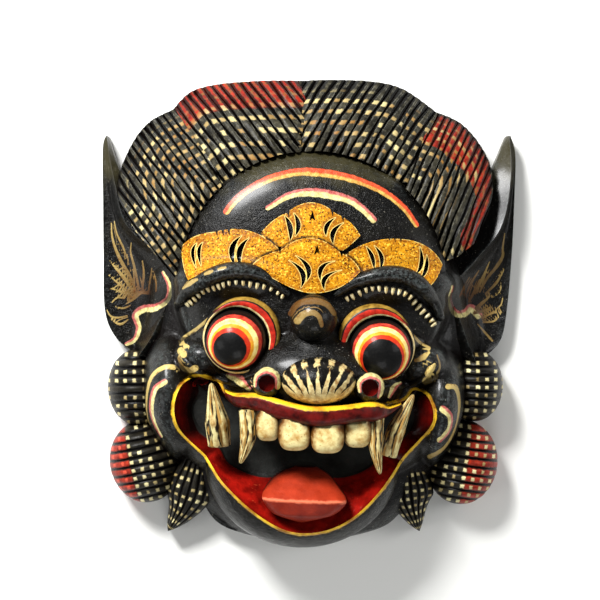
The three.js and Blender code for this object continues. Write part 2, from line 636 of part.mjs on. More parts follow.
function tooth({ x, y, wide, high, forward }) {
  const geometry = new THREE.BoxGeometry(2, 2, 2, 2, 2, 2);
  const position = geometry.getAttribute('position');
  const p = new THREE.Vector3();
  for (let i = 0; i < position.count; i += 1) {
    p.fromBufferAttribute(position, i);
    const size = (Math.abs(p.x) ** TOOTH.square + Math.abs(p.y) ** TOOTH.square
      + Math.abs(p.z) ** TOOTH.square) ** (1 / TOOTH.square);
    const k = TOOTH.full / size;
    position.setXYZ(i, x + (p.x * k * wide) / 2, y + (p.y * k * high) / 2,
      forward + (p.z * k * TOOTH.deep) / 2);
  }
  return solid(geometry);
}

function horn({ line, half }) {
  const way = new THREE.CatmullRomCurve3(line.map((p) => new THREE.Vector3(...p)));
  const wide = (s) => (s < 0.5 ? mix(half[0], half[1], 2 * s) : mix(half[1], half[2], 2 * s - 1));
  return bar(6, 5, (s) => way.getPoint(s), (s) => [wide(s), wide(s) * HORN_DEPTH]);
}

function tongue() {
  const [left, right] = [spline(TONGUE.left), spline(TONGUE.right)];
  return block(8, 8, (u, v) => {
    const [a, b] = [left.getPoint(v), right.getPoint(v)];
    const at = v * (TONGUE.height.length - 1);
    const k = Math.min(Math.floor(at), TONGUE.height.length - 2);
    const z = mix(TONGUE.height[k], TONGUE.height[k + 1], at - k);
    const side = (2 * u - 1) ** 2;
    return [mix(a.x, b.x, u), mix(a.y, b.y, u), z - TONGUE.crown * side - TONGUE.lip * side ** 4];
  });
}

function hollow({ x, y, across, along, deep }) {
  return ball([x, y, 0], [across, along, deep], 24, 8);
}

// ---------------------------------------------------------------- the mask

const carved = union([
  face(),
  jaw(),
  ...LOBES.map(lobe),
  ...EARS.map(ear),
  ...CURLS.map(curl),
  ...LOCKS.map(lock),
  ...BROWS.map(brow),
]).subtract(mouth());

const dressed = union([
  carved,
  ...LEAVES.map(leaf),
  ...EYES.map(eye),
  nose(),
  upperLip(),
  tongue(),
  ...TEETH.map(tooth),
  ...HORNS.map(horn),
]);

const back = union(HOLLOWS.map(hollow));
const sawn = dressed.subtract(back).subtract(box([-200, -200, SAW - 10], [200, 200, 0]));

const wood = new THREE.MeshStandardMaterial({ color: '#2b2724', roughness: 0.45, metalness: 0 });
const [whole] = withoutSplinters(sawn).decompose().sort((a, b) => b.volume() - a.volume());
const mask = new THREE.Mesh(geometryOf(whole), wood);
mask.name = 'mask';

const group = new THREE.Group();
group.add(mask);
export default group;
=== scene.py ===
import math

import bmesh
import bpy
import numpy as np
from mathutils import Matrix, Vector


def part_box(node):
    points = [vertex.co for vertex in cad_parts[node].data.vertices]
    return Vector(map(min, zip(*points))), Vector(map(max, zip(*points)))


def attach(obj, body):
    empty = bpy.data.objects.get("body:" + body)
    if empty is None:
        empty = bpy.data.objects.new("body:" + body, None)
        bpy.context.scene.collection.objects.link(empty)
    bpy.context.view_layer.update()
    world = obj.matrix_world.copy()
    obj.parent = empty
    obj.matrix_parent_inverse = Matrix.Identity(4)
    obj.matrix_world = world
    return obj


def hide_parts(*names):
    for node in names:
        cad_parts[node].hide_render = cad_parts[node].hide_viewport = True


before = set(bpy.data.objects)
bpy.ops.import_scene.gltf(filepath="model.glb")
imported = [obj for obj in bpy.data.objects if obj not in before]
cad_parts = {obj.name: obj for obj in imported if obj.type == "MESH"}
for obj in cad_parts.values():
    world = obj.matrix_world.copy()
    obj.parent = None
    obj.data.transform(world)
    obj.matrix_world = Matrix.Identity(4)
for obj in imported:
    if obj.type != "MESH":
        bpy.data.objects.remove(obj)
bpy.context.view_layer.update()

# The mask lies on its back rim, face up: +X is the viewer's right, +Y runs from chin to hair, +Z out of
# the face. The forms below are in millimetres, and MM turns them to metres by the frame's own height.
low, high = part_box("mask")
MASK_HEIGHT = 270
MM = (high.y - low.y) / MASK_HEIGHT
SAW = -6       # every form is carried down to here, then sawn off flat at the rim plane
SKY = 130      # above the whole carving
BLEND = 7      # how softly one swelling of the face runs into the next
ROUNDING = 20  # how tightly the face rounds over at its edge: higher is tighter
SPLIT = math.radians(38)  # edges sharper than this stay crisp

# The swellings of the face: middle, half width, half height, height at the foot and at the top, and how
# fast it drops away outside its foot.
SWELLINGS = [
    (0, -16, 98, 122, 15, 46, 28),      # plate
    (-41, 20, 36, 14, 40, 66, 28),      # left brow
    (47, 17, 36, 14, 40, 66, 28),       # right brow
    (3, -16, 17, 26, 48, 71, 28),       # bridge of the nose
    (-60, -24, 17, 13, 38, 61, 28),     # left cheekbone
    (62, -27, 17, 13, 38, 61, 28),      # right cheekbone
    (4, -37, 50, 30, 46, 80, 28),       # muzzle
    (-80, -48, 19, 38, 20, 57, 28),     # left cheek
    (76, -54, 18, 36, 20, 57, 28),      # right cheek
    (-3, -62, 80, 40, 26, 66, 28),      # ring of flesh round the mouth
    (1.7, 18, 77, 76, 44, 63, 300),     # forehead
]
JAW = (-4, -84, 55, 48.5, 44, 74, 300)  # crisply edged

# The edge of the face, under the hair, the ears and the curls, and the chin below.
FACE_MIDDLE = (0, -16)
FACE_EDGE = [
    (2, 99), (54, 86), (84, 48), (92, 8), (94, -32), (87, -66), (72, -94), (56, -113), (44, -124),
    (22, -130.5), (-4, -135), (-30, -130.5), (-52, -123), (-64, -108), (-78, -88), (-94, -62), (-99, -30),
    (-94, 8), (-84, 48), (-52, 86),
]
RIM_THICKNESS = 14

# The hair: a fan of four combed lobes round the forehead.
HAIR_MIDDLE = (1.7, 16.4)
HAIR_INNER, HAIR_INNER_HEIGHT, HAIR_EDGE_HEIGHT, HAIR_SAG = 76, 50, 17, 4.5
HAIR_NOTCH, HAIR_GROOVE, NOTCH_LENGTH = 5.5, 1.9, 12
HAIR_REACH, HAIR_CURVE = 56, 1.7  # how far out the hair falls away, and how late it does
FLUTE_STEPS = np.array([0, 0.1, 0.28, 0.5, 0.72, 0.9])  # where the columns of one flute stand
FLUTE_RISES = np.array([0, 0.55, 0.9, 1, 0.9, 0.55])    # and how high each of them is
HAIR_OVERLAP = math.radians(1)
FLUTES_APART = 40  # between the flute numbers of one lobe and the next
# Each lobe: direction, spacing and lean of the flutes, spacing of the paint, then its left side, its outer
# edge and its right side.
LOBES = [
    (127, 4.2, 0, 5.5, [(-76, 20), (-86, 32), (-100, 48), (-110, 66)],
     [(-110, 66), (-110.8, 80.4), (-102.9, 99.7), (-93, 112), (-79.5, 119.5)],
     [(-79.5, 119.5), (-69.1, 105.6), (-50.5, 74.4)]),
    (127, 4.6, 0, 7.6, [(-50.5, 74.4), (-69.1, 105.6), (-79.5, 119.5)],
     [(-79.5, 119.5), (-69.8, 129), (-55.5, 133.2), (-31, 134.6), (-7.5, 134.8)],
     [(-7.5, 134.8), (-3.4, 121), (-6.8, 91.6)]),
    (65, 4.8, 0.0016, 6.5, [(-6.8, 91.6), (-3.4, 121), (-7.5, 134.8)],
     [(-7.5, 134.8), (12.3, 135), (36.2, 134.4), (54, 130.5), (72.9, 117.7)],
     [(72.9, 117.7), (66, 102), (56.2, 75.6)]),
    (71, 4.1, 0.001, 5.2, [(56.2, 75.6), (66, 102), (72.9, 117.7)],
     [(72.9, 117.7), (88, 111), (99.4, 98), (105.8, 82), (104, 62), (95, 43)],
     [(95, 43), (84, 34), (75.9, 31)]),
]

# The ears: the outer edge, the crest of the rim and the inner edge, from the lobe to the tip.
EARS = [
    ([(-102, -23), (-113, -14), (-119.5, 2), (-120.3, 35), (-120.6, 66), (-120.8, 96), (-119, 104)],
     [(-98, -24), (-88, -8), (-80, 16), (-88, 34), (-106, 52), (-113.6, 80), (-118.3, 104)],
     [(-94, -25), (-80, -10), (-70, 14), (-78, 40), (-98, 58), (-110, 82), (-117.6, 104)]),
    ([(100, -27), (110.5, -18), (115, -4), (118.5, 32), (120, 62), (120.8, 92), (118, 104)],
     [(96, -28), (89, -10), (83, 14), (96, 31), (111, 50), (117, 78), (116.8, 104)],
     [(92, -28), (79, -10), (72, 14), (80, 32), (97, 50), (105, 78), (115.5, 104)]),
]
EAR_EDGE, EAR_CREST, EAR_TIP, EAR_INNER, EAR_CREST_AT = 12, 31, 15, 27, 0.7
EAR_DISH, EAR_TIP_EDGE, EAR_TIP_INNER = 4, 12, 10  # depth of the bowl, and heights beside the tip

# The curls beside the cheeks: middle, half width, half height, turn in degrees, number of flutes.
CURLS = [
    (-100, -43, 17.6, 22.5, 2, 9), (-96, -86.5, 20.4, 24, 12, 10),
    (96.5, -42, 16.8, 21, -2, 9), (89.5, -87, 20.6, 24.5, -9, 10),
]
CURL_TOP, CURL_EDGE, CURL_GROOVE = 36, 13, 1.6
CURL_FULL = 0.985  # short of 1, so that a curl has no needle at its ends
RIDGES_APART = 20  # between the ridge numbers of one curl or lock and the next

# The pointed locks under the jaw, each from its root to its tip.
LOCKS = [
    [(-62, -74), (-67, -94), (-73, -112), (-82.5, -127)],
    [(56, -78), (58, -96), (60, -112), (64.5, -127)],
]
LOCK_FLUTES, LOCK_HALF, LOCK_TOP, LOCK_TIP, LOCK_GROOVE, LOCK_LENGTH = 6, 13.5, 32, 14, 1.4, 58
LOCK_CROWN = 7  # how far its sides lie below its middle

# The gold leaves: rise over the forehead, start, arcs (pull and end), cuts (top, bulge, foot, width).
LEAVES = [
    (3.2, (-27.5, 45),
     [(-21, 53.5, -12.8, 56.6), (1.1, 68.5, 14.5, 56.4), (24, 52.5, 28.4, 43.9), (0, 14, -27.5, 45)],
     [(-13.8, 55.1, -10.8, 48.6, -10.8, 41, 2.2), (-8.8, 56.6, -6.2, 50.1, -8, 43.5, 2),
      (14.6, 54, 9.8, 49.6, 9.3, 43.5, -2), (19.1, 51.1, 13.4, 46.2, 13.3, 39, -2.2)], (1.6, 58)),
    (4.2, (-14, 33),
     [(-30, 52.5, -52.9, 46.2), (-66, 45.5, -72.1, 38.4), (-72.5, 28, -67.9, 19), (-52, 27.5, -33, 25.5),
      (-22, 24, -14, 33)],
     [(-37.7, 44, -43.2, 36.6, -41.2, 26, -2.4), (-33.7, 42.6, -38.9, 35.6, -38.2, 26, -2.4),
      (-63.2, 40, -65.6, 34.6, -63.4, 26, -1.5), (-59.6, 40.4, -62, 35.4, -60.6, 27, -1.5)], None),
    (4.2, (16, 30),
     [(33, 45.5, 57, 41.4), (70, 38.5, 75, 28), (72, 20, 66.9, 15.4), (50, 26.5, 32, 22), (22, 20, 16, 30)],
     [(31.5, 38, 34.8, 32.2, 36, 25, 1.8), (36, 38.4, 40.1, 32, 39.2, 25, 1.8),
      (61.9, 38, 62.6, 28.2, 58.7, 22, 1.8), (65.8, 33.4, 65.2, 25.6, 61.3, 19, 1.8)], None),
    (6.4, (-32, 27.4),
     [(-25, 34.6, -16.4, 35.2), (0.2, 50.4, 17.5, 33.9), (25, 31.5, 28.3, 23.9), (18, 12, 2, 11.6),
      (-10, 12, -32, 27.4)],
     [(-7.8, 32.7, -1, 26.3, -1.6, 18.5, 2.2), (-11.6, 30.1, -4, 23.3, -4.8, 14.6, 2.2),
      (14.1, 29.6, 6.9, 26.3, 6.1, 18.5, -2.2), (17.9, 24.6, 9, 20.7, 8.3, 13.4, -2.2)], (4.2, 39)),
]

# Small nicks broken out of the upper edges of the leaves, and the shape of one, from its place on the edge.
NICKS = [(-52.1, 45.9), (-48.6, 46), (-45.2, 46.2), (-16.7, 35.5), (-12.2, 37.8), (17.6, 33.4), (21.6, 31),
         (-12, 56.2), (12.6, 56.8), (18.4, 53.6), (44.4, 43), (47.4, 42.6), (50.8, 42.2)]
NICK = [(-1.1, 2.2), (1, 2.2), (0.5, -2.3)]
NICK_REACH = 2.2
TICK = [(0, 0), (1.8, -6), (0, -4.6), (-1.8, -6)]  # cut into two of the leaves, from its point down
LEAVES_LEFT, LEAVES_RIGHT, LEAVES_FOOT, LEAVES_TOP = -76, 78, 8, 66
KNIFE_SWAY = 1.35  # how much wider the knife left the cuts of a leaf than they were drawn

# The brows: a ridge over each eye.
BROWS = [
    [(-76, 2), (-68, 13), (-52, 22.2), (-38, 24.4), (-24, 21), (-11, 10.5)],
    [(13, 10.5), (26, 18.4), (44, 22.4), (58, 19), (69, 8.5), (75, -4)],
]
BROW_HALF, BROW_HEIGHT, BROW_LIFT = 5, 7, 1.5

# The eyes: the middle of the lid, the eyeball's middle and radius, the pupil's, and the side of the nose.
EYES = [
    (-36.9, -10.9, -41, -14.4, 17, -43.9, -18.8, 9.2, 1),
    (36.3, -14.8, 39.6, -19.9, 17.4, 40, -24.3, 10.9, -1),
]
EYE_MIDDLE, EYE_LID, LID_HEIGHT, LID_THICK, LID_THIN, EYE_CORNER = 64.5, 20.8, 62.5, 5, 1.8, 36
CORNER_WIDE, CORNER_TALL, CORNER_INSIDE = (9, 1), (5, 2), 4  # from root to point, and the root under the lid

KNOB = (2.2, -2, 70, 13.2)
NOSE_MIDDLE, NOSE_HALVES = (4.9, -36.5, 78.4), (20.5, 13, 17)
NOSTRILS = [(-23.5, -37.5), (33, -40)]
NOSTRIL_RADIUS, NOSTRIL_MIDDLE, NOSTRIL_HOLE, NOSTRIL_DEPTH = 8.2, 78, 4.6, 8

# The upper lip: its upper and lower edge from corner to corner.
LIP_UPPER = [
    (-47, -42), (-41, -43.6), (-30, -43.3), (-20, -45.5), (-10.7, -48), (-1.4, -49.8), (8, -50),
    (19, -49.4), (27, -48.5), (34.3, -47.8), (40, -49.2), (44, -50.8), (51, -49.5),
]
LIP_LOWER = [
    (-47, -46.5), (-41, -51.2), (-30, -54.2), (-20, -57.3), (-10.7, -59), (-1.4, -61), (8, -61.8),
    (19, -60.2), (27, -59), (34.3, -59.2), (40, -57.8), (44, -56), (51, -51),
]
LIP_CORNER, LIP_FRONT, LIP_ROLL = 64, 87, 4.5

# The mouth: its outline, and the edge of the dark cavity inside it, point for point.
MOUTH_MIDDLE = (-2, -78)
MOUTH_EDGE = [
    (-45.6, -46), (-52, -38.4), (-63.4, -35.5), (-72.5, -41), (-75.9, -54), (-71.8, -67.1), (-58.4, -80),
    (-47.8, -94.5), (-29.5, -111.1), (-11.1, -121.1), (7.2, -121.1), (24, -113.5), (39.1, -99.1),
    (53.8, -79.8), (66.5, -66), (69.8, -56.8), (66.5, -46.5), (59.3, -43.2), (52.5, -49), (32, -52),
    (5, -55), (-25, -50),
]
CAVITY_EDGE = [
    (-43, -51), (-50, -49), (-58, -46), (-64, -49), (-66, -56), (-62, -65), (-51, -75),
    (-45, -85), (-29, -91.5), (-11, -90.5), (6, -91), (20, -91.5), (33, -87),
    (43, -77), (54, -68), (58, -61), (57, -55), (53, -53), (48, -55), (30, -58),
    (5, -60), (-24, -57),
]
CAVITY_HEIGHT, CAVITY_BACK = 40, 36
BEAD_HALVES, BEAD_SUNK = (1.6, 1.9), 0.9  # the rolled edge of the mouth

TEETH = [  # middle, width, height, and how far forward the middle is
    (-23, -58.8, 13, 20.6, 74), (-8.3, -63, 17.2, 22.2, 77.5), (9.7, -64.4, 17.8, 22.4, 78),
    (26.3, -62, 14.8, 21.4, 74),
]
TOOTH_DEEP, TOOTH_SQUARE, TOOTH_FULL = 18, 3.2, 1.06

# Fangs and tusks, each from its thick root to its point, and their half widths.
HORNS = [
    ([(-34.5, -52, 74), (-34, -68, 77), (-38.2, -82, 77)], (5.2, 4.4, 0.8)),
    ([(37.2, -54, 72), (36.4, -72, 76), (38.8, -88, 76)], (4.6, 4, 0.8)),
    ([(-50.5, -74.5, 58), (-51.4, -60, 64), (-54.6, -38, 68)], (6.4, 7, 0.9)),
    ([(44, -80, 58), (48.5, -64, 63), (58, -44.5, 66)], (5.2, 5.2, 0.9)),
]
HORN_DEPTH = 1.35
HORN_GROOVES, HORN_GROOVE = 6, 0.16  # how many, and their depth as a share of the half width

TONGUE_LEFT = [(-8, -86.5), (-18, -90.5), (-24.5, -97), (-26.1, -102.5), (-20, -111), (-8, -116)]
TONGUE_RIGHT = [(4, -87), (11, -91), (17, -98), (20.4, -104.5), (13, -112), (-2, -116.4)]
TONGUE_HEIGHT, TONGUE_CROWN, TONGUE_LIP = (50, 62, 71, 77, 73, 62), 3, 5

# The hollow back, in two overlapping bowls: middle, half width, half height, depth.
HOLLOWS = [(0, 20, 82, 76, 44), (0, -60, 66, 60, 24)]

# Brush strokes, each a line and its half widths at its start, middle and end. Every kind is two paints side
# by side, the first on the left of the line's direction.
FIRE_STROKES = [  # red over yellow, across the forehead
    ([(-46.7, 57.7), (-42, 63.6), (-34.6, 69.9), (-20.6, 76.9), (-1.9, 80.2), (21, 77), (39.7, 70),
      (52.7, 60.5), (60.2, 50.4)], (1.9, 2.5, 1.6)),
]
PETAL_STROKES = [  # pink over cream
    ([(-23.3, 59.6), (-11.2, 66.7), (2.7, 68.3), (20.9, 64.6), (30, 58.8), (35.8, 53)], (1.5, 2.7, 1.9)),
    ([(-106.7, -17.7), (-102.1, -15), (-99.6, -8), (-101.7, -1), (-96.5, 2.8), (-89.3, 3.7), (-81.6, 8.3),
      (-80.3, 16.5), (-84.1, 23.8)], (1.3, 2.4, 1)),
    ([(81.2, 15.6), (80.4, 8), (84, 0.6), (90.3, 0.4), (94.3, 3.4), (99, -0.6)], (0.9, 2.1, 2.6)),
    ([(-84.2, -69.5), (-88.6, -60.2), (-89.6, -51.7), (-87, -42.1), (-81.4, -38)], (0.9, 1.7, 1.7)),
    ([(75.2, -53.4), (79.4, -57.9), (78.6, -65.4), (73.6, -71.2)], (2.2, 1.5, 1.6)),
    ([(-17.6, -39.6), (-18, -33.6), (-23.5, -30.6), (-29, -33.6), (-30, -39)], (1.5, 1.7, 0.9)),
    ([(38.4, -45), (39.2, -36.4), (33, -33.4), (27.4, -36.8), (27.4, -42)], (1.5, 1.8, 0.9)),
    ([(-45.6, -34.6), (-40, -36), (-33.6, -41.4)], (1.6, 3, 1.2)),
    ([(51, -38.4), (47.6, -40.2), (44.6, -46)], (0.8, 2, 1)),
]
# Ochre strokes, which also say how light they are at their start and end, from 0 to 1.
GILT_STROKES = [
    # down the cheeks
    ([(-76.5, -30), (-82, -30), (-88.6, -34.6), (-92, -43.2), (-93.2, -57.4), (-91, -71.5), (-85.3, -81.7),
      (-76.4, -87.6)], (1.5, 0.6, 1.5), 0.9, 0.6),
    ([(78, -40.8), (82.6, -41.4), (84.8, -48), (84.8, -56), (82.6, -66), (77.4, -75.4), (69, -81.6)],
     (1.6, 0.6, 1.5), 0.7, 0.5),
    # round the outer corners of the eyes
    ([(-55, -1.2), (-64, -8.6), (-72.8, -14.6), (-68, -18.2)], (0.9, 1.1, 0.7), 0.5, 0.8),
    ([(57.4, -10.8), (62, -15.8), (67.6, -18.8)], (0.8, 0.9, 0.7), 0.4, 0.6),
    ([(59.5, -25.8), (63, -24.4), (67, -21.4)], (1, 1.9, 0.8), 0.15, 0.9),
    # drops on the cheekbones
    ([(-72.6, -20.8), (-70.8, -22.4)], (2.3, 2.6, 2.2), 0.85, 0.8),
    ([(-73.6, -25), (-71.6, -30), (-67.4, -31.6), (-64, -30.2)], (0.8, 1.7, 1.9), 0.2, 0.75),
    ([(66.6, -33), (68, -31), (70.2, -28.2)], (1.9, 2.3, 0.9), 0.95, 0.9),
    ([(65.8, -37.4), (67.4, -37.2)], (2.4, 2.6, 2.2), 0.85, 0.8),
    ([(71.8, -23), (73.4, -30), (69.6, -38)], (0.4, 0.7, 0.5), 0.3, 0.5),
    # two arcs over the knob
    ([(-10.4, 0.4), (-7, 5.4), (0.4, 7.6), (8.6, 6), (13.6, 0.6)], (1.6, 2, 1.4), 0.05, 0.16),
    ([(-6.6, -3.4), (-3.4, 0.2), (1.4, 1.2), (5, -1), (6.6, -6)], (2.2, 1.7, 1.1), 0.4, 0.15),
    # over the outer end of the left brow
    ([(-71, 14.6), (-67, 17.6), (-62.6, 19.4)], (0.7, 2, 0.8), 0.55, 0.5),
    ([(-58, 22.4), (-54, 24)], (0.8, 1.2, 0.8), 0.5, 0.5),
    ([(-50.4, 25), (-46.6, 26)], (0.7, 1, 0.7), 0.5, 0.5),
    # flames in the left ear
    ([(-102.4, 11.8), (-108.4, 21), (-113, 26.5), (-116.5, 30.7)], (0.6, 1.2, 0.3), 0.1, 0.63),
    ([(-103.8, 10.4), (-109.3, 15.5), (-113.9, 19.6), (-117.6, 22.8)], (0.6, 0.7, 0.3), 0.1, 0.66),
    ([(-105.2, 9.5), (-110.7, 13.1), (-116.3, 14.8)], (0.6, 0.7, 0.4), 0.1, 0.63),
    ([(-106.1, 8.5), (-112.1, 9.5), (-115.3, 6.7)], (0.5, 0.6, 0.4), 0.14, 0.63),
    ([(-105.6, 4.4), (-108.9, 3.2), (-113.5, 3.9)], (0.5, 0.6, 0.3), 0.14, 0.56),
    ([(-106.6, -1.2), (-112, -2.4), (-116.2, -1.4), (-118.3, 2.1)], (0.4, 0.7, 0.3), 0.21, 0.7),
    ([(-106.1, -3.5), (-110.7, -6.2), (-115.3, -3.9)], (0.4, 0.8, 0.4), 0.28, 0.7),
    ([(-101.5, 13.6), (-105.2, 22.8), (-109.3, 29.3), (-113, 37.2), (-115.3, 45), (-115.8, 53)],
     (0.7, 1.1, 0.3), 0.07, 0.56),
    ([(-99.6, 15.5), (-102.4, 28.4), (-104.3, 35.8), (-103.8, 41.3)], (0.8, 0.8, 0.3), 0.07, 0.42),
    ([(-97.3, 14.5), (-96.4, 23.8), (-97.1, 30.7)], (0.7, 0.7, 0.4), 0.03, 0.32),
    ([(-93.6, 12.6), (-92.2, 21), (-91.3, 26.5)], (0.6, 0.6, 0.3), 0.03, 0.24),
    ([(-88.6, 12.7), (-88.4, 18), (-90.4, 25)], (0.4, 0.6, 0.3), 0.03, 0.24),
    ([(-105.4, 29.6), (-108.6, 38.2), (-112.6, 47), (-114, 54)], (0.3, 0.7, 0.3), 0.21, 0.52),
    ([(-106, 6.4), (-102.4, 9), (-98.4, 12.4), (-92, 11.4)], (0.5, 1.4, 0.5), 0.21, 0.01),
    # flames in the right ear
    ([(97, 11.8), (102.5, 23.6), (105.3, 30.2)], (0.7, 0.9, 0.3), 0.07, 0.49),
    ([(99.7, 12.7), (104.3, 21), (109.4, 27), (113.4, 33.5), (113.4, 38.2), (114.5, 47)],
     (0.6, 1.1, 0.3), 0.1, 0.39),
    ([(103.4, 11.8), (109.8, 18.2), (114, 25.6)], (0.6, 0.9, 0.3), 0.1, 0.49),
    ([(106.6, 9), (111.2, 12.2), (112.7, 16.2)], (0.3, 0.4, 0.3), 0.28, 0.63),
    ([(108, 1.6), (112.3, 5), (113.3, 9)], (0.3, 0.5, 0.3), 0.28, 0.63),
    ([(101.5, -2.5), (107.4, 0.4), (113.6, 1.1)], (0.7, 0.8, 0.3), 0.1, 0.49),
    ([(102, -5), (108.4, -4.3), (112.2, -0.2)], (0.5, 0.6, 0.3), 0.14, 0.56),
    ([(91, 9.8), (94.1, 17.6), (98.8, 25.2)], (0.5, 0.9, 0.3), 0, 0.17),
    ([(93.2, 7.1), (97, 14.4), (99.3, 20)], (0.7, 1, 0.3), 0.03, 0.14),
    ([(98.7, -6.2), (103.3, -11.3), (107.4, -15.9)], (0.3, 0.7, 0.6), 0.28, 0.35),
    ([(97.8, 3.4), (102.4, 7.1), (106.2, 10.8)], (1.1, 1.1, 0.3), 0.07, 0.28),
    ([(96.6, 0.4), (103, 2), (107.6, 5)], (1, 0.9, 0.3), 0.07, 0.24),
    ([(86.3, 9.6), (89.6, 15.6), (92.8, 21)], (0.4, 0.7, 0.3), 0, 0.14),
]

# The bristles under each brow: a line of roots, how many, and how long they are at each end.
BRISTLES = [
    ([(-69.5, 6.2), (-63.2, 11), (-54.9, 15.4), (-46.6, 18), (-35.5, 18.4), (-24.4, 16.2), (-14.4, 11.4)],
     18, 4.4, 4.6),
    ([(20.5, 9.6), (30, 14.2), (40, 15.4), (50.4, 14), (58.8, 8.8), (66, 1.9), (71.5, -4.7)], 17, 4.4, 6.4),
]
BRISTLE_HALF, BRISTLE_OUT = 1.25, 2.4
BRISTLE_ROOT, BRISTLE_SHARE = 1.2, 0.75  # how far above its line it starts, and how much of it lies below

# Folds of skin on the muzzle and under the eyes: a line, half widths, and how far they stand out.
FOLDS = [
    ([(-74, -20), (-64, -31), (-50, -36), (-36, -38.5), (-27, -33)], 2.6, 2.4),
    ([(71, -26), (63, -36), (52, -39.5), (42, -36), (37, -31)], 2.4, 2.2),
    ([(-57, -24), (-50, -32.5), (-39, -35.5), (-28, -32)], 1.6, 1.6),
    ([(56, -28), (50, -36), (40, -40), (30, -34)], 1.4, 1.6),
]

SMOOTHINGS = 14  # passes of smoothing that "swell" is measured against
HOOP = 3         # radius of a ring in parameter space, well over the 1 of its section
UNTOUCHED = 9.0  # millimetres or half widths from a leaf or a stroke, past which its paint doesn't reach

# The finishes, in the order of the material slots that every form carries.
FINISHES = ["skin", "hair", "curls", "gold", "eyes", "eyelids", "bristles", "nose", "lip", "gums", "teeth",
            "tusks", "tongue", "wood"]


# ------------------------------------------------------------------ shapes

def mix(a, b, t):
    return a + (b - a) * t


def along(points, t, closed=False):
    """Places at t, from 0 to 1, on a smooth line through the points."""
    p = np.asarray(points, float)
    count = len(p)
    spans = count if closed else count - 1
    at = np.asarray(t, float) % 1.0 * spans if closed else np.clip(t, 0, 1) * spans
    i = np.minimum(at.astype(int), spans - 1)
    w = (at - i)[..., None]

    def near(k):
        return p[k % count] if closed else p[np.clip(k, 0, count - 1)]

    a, b, c, d = near(i - 1), near(i), near(i + 1), near(i + 2)
    return b + 0.5 * w * (c - a + w * (2 * a - 5 * b + 4 * c - d + w * (3 * (b - c) + d - a)))


def swelling(x, y, middle_x, middle_y, across, length, foot, top, fall):
    away = np.hypot((x - middle_x) / across, (y - middle_y) / length)
    inside = foot + (top - foot) * np.sqrt(np.clip(1 - away * away, 0, 1))
    return np.where(away < 1, inside, foot - fall * (away - 1))


def brow_to_chin(x, y):
    """The height of the smooth face without the jaw, each swelling running softly into the next."""
    whole = np.zeros_like(x)
    for one in SWELLINGS:
        other = swelling(x, y, *one)
        near = np.clip(BLEND - np.abs(whole - other), 0, None) / BLEND
        whole = np.maximum(whole, other) + near * near * BLEND / 4
    return whole


def face_height(x, y):
    return np.maximum(brow_to_chin(x, y), swelling(x, y, *JAW))


def fine(outline):
    """A closed outline sampled closely."""
    closed = np.vstack([outline, outline[:1]])
    return np.vstack([mix(a, b, np.linspace(0, 1, 7)[:-1, None]) for a, b in zip(closed[:-1], closed[1:])])


def turning(outline):
    """1 for an outline that runs round to the left, -1 for one that runs round to the right."""
    ahead = np.roll(outline, -1, axis=0)
    return np.sign((outline[:, 0] * ahead[:, 1] - outline[:, 1] * ahead[:, 0]).sum())


def gap_to(line, x, y):
    """How far each point is from a closely sampled line, and on which side: positive on its left."""
    best, side = np.full(len(x), 1e9), np.ones(len(x))
    run = np.gradient(line, axis=0)
    for (px, py), (dx, dy) in zip(line, run):
        gap = np.hypot(x - px, y - py)
        closer = gap < best
        best[closer] = gap[closer]
        side[closer] = np.sign(dx * (y - py) - dy * (x - px))[closer]
    return best, side


def brushed(x, y, strokes):
    """Where each point lies by the nearest brush stroke: how far across it, how far inside its ends and
    how far away, in half widths, and how light the paint is there."""
    nearest = np.tile([UNTOUCHED, -UNTOUCHED, UNTOUCHED, 0], (len(x), 1))
    for points, widths, *tones in strokes:
        share = np.linspace(0, 1, 14 * len(points))
        line = along(points, share)
        run = np.gradient(line, axis=0)
        steps = np.hypot(run[:, 0], run[:, 1])
        run = run / steps[:, None]
        travelled = np.concatenate([[0], np.cumsum((steps[1:] + steps[:-1]) / 2)])
        reach = 4 * max(widths) + UNTOUCHED
        close = np.flatnonzero((np.abs(x - line[:, 0].mean()) < np.ptp(line[:, 0]) / 2 + reach)
                               & (np.abs(y - line[:, 1].mean()) < np.ptp(line[:, 1]) / 2 + reach))
        gap_x, gap_y = x[close, None] - line[:, 0], y[close, None] - line[:, 1]
        i = np.argmin(np.hypot(gap_x, gap_y), 1)
        rows = np.arange(len(close))
        gap_x, gap_y = gap_x[rows, i], gap_y[rows, i]
        ahead = gap_x * run[i, 0] + gap_y * run[i, 1]
        across = gap_y * run[i, 0] - gap_x * run[i, 1]
        done = travelled[i] + ahead
        ends = np.minimum(done, travelled[-1] - done)
        half = np.interp(done / travelled[-1], [0, 0.5, 1], widths)
        tone = np.interp(done / travelled[-1], [0, 1], tones) if tones else np.zeros(len(close))
        new = np.stack([across / half, ends / half, np.hypot(across, np.minimum(ends, 0)) / half, tone], 1)
        better = new[:, 2] < nearest[close, 2]
        nearest[close[better]] = new[better]
    return nearest


# ------------------------------------------------------------------ meshes

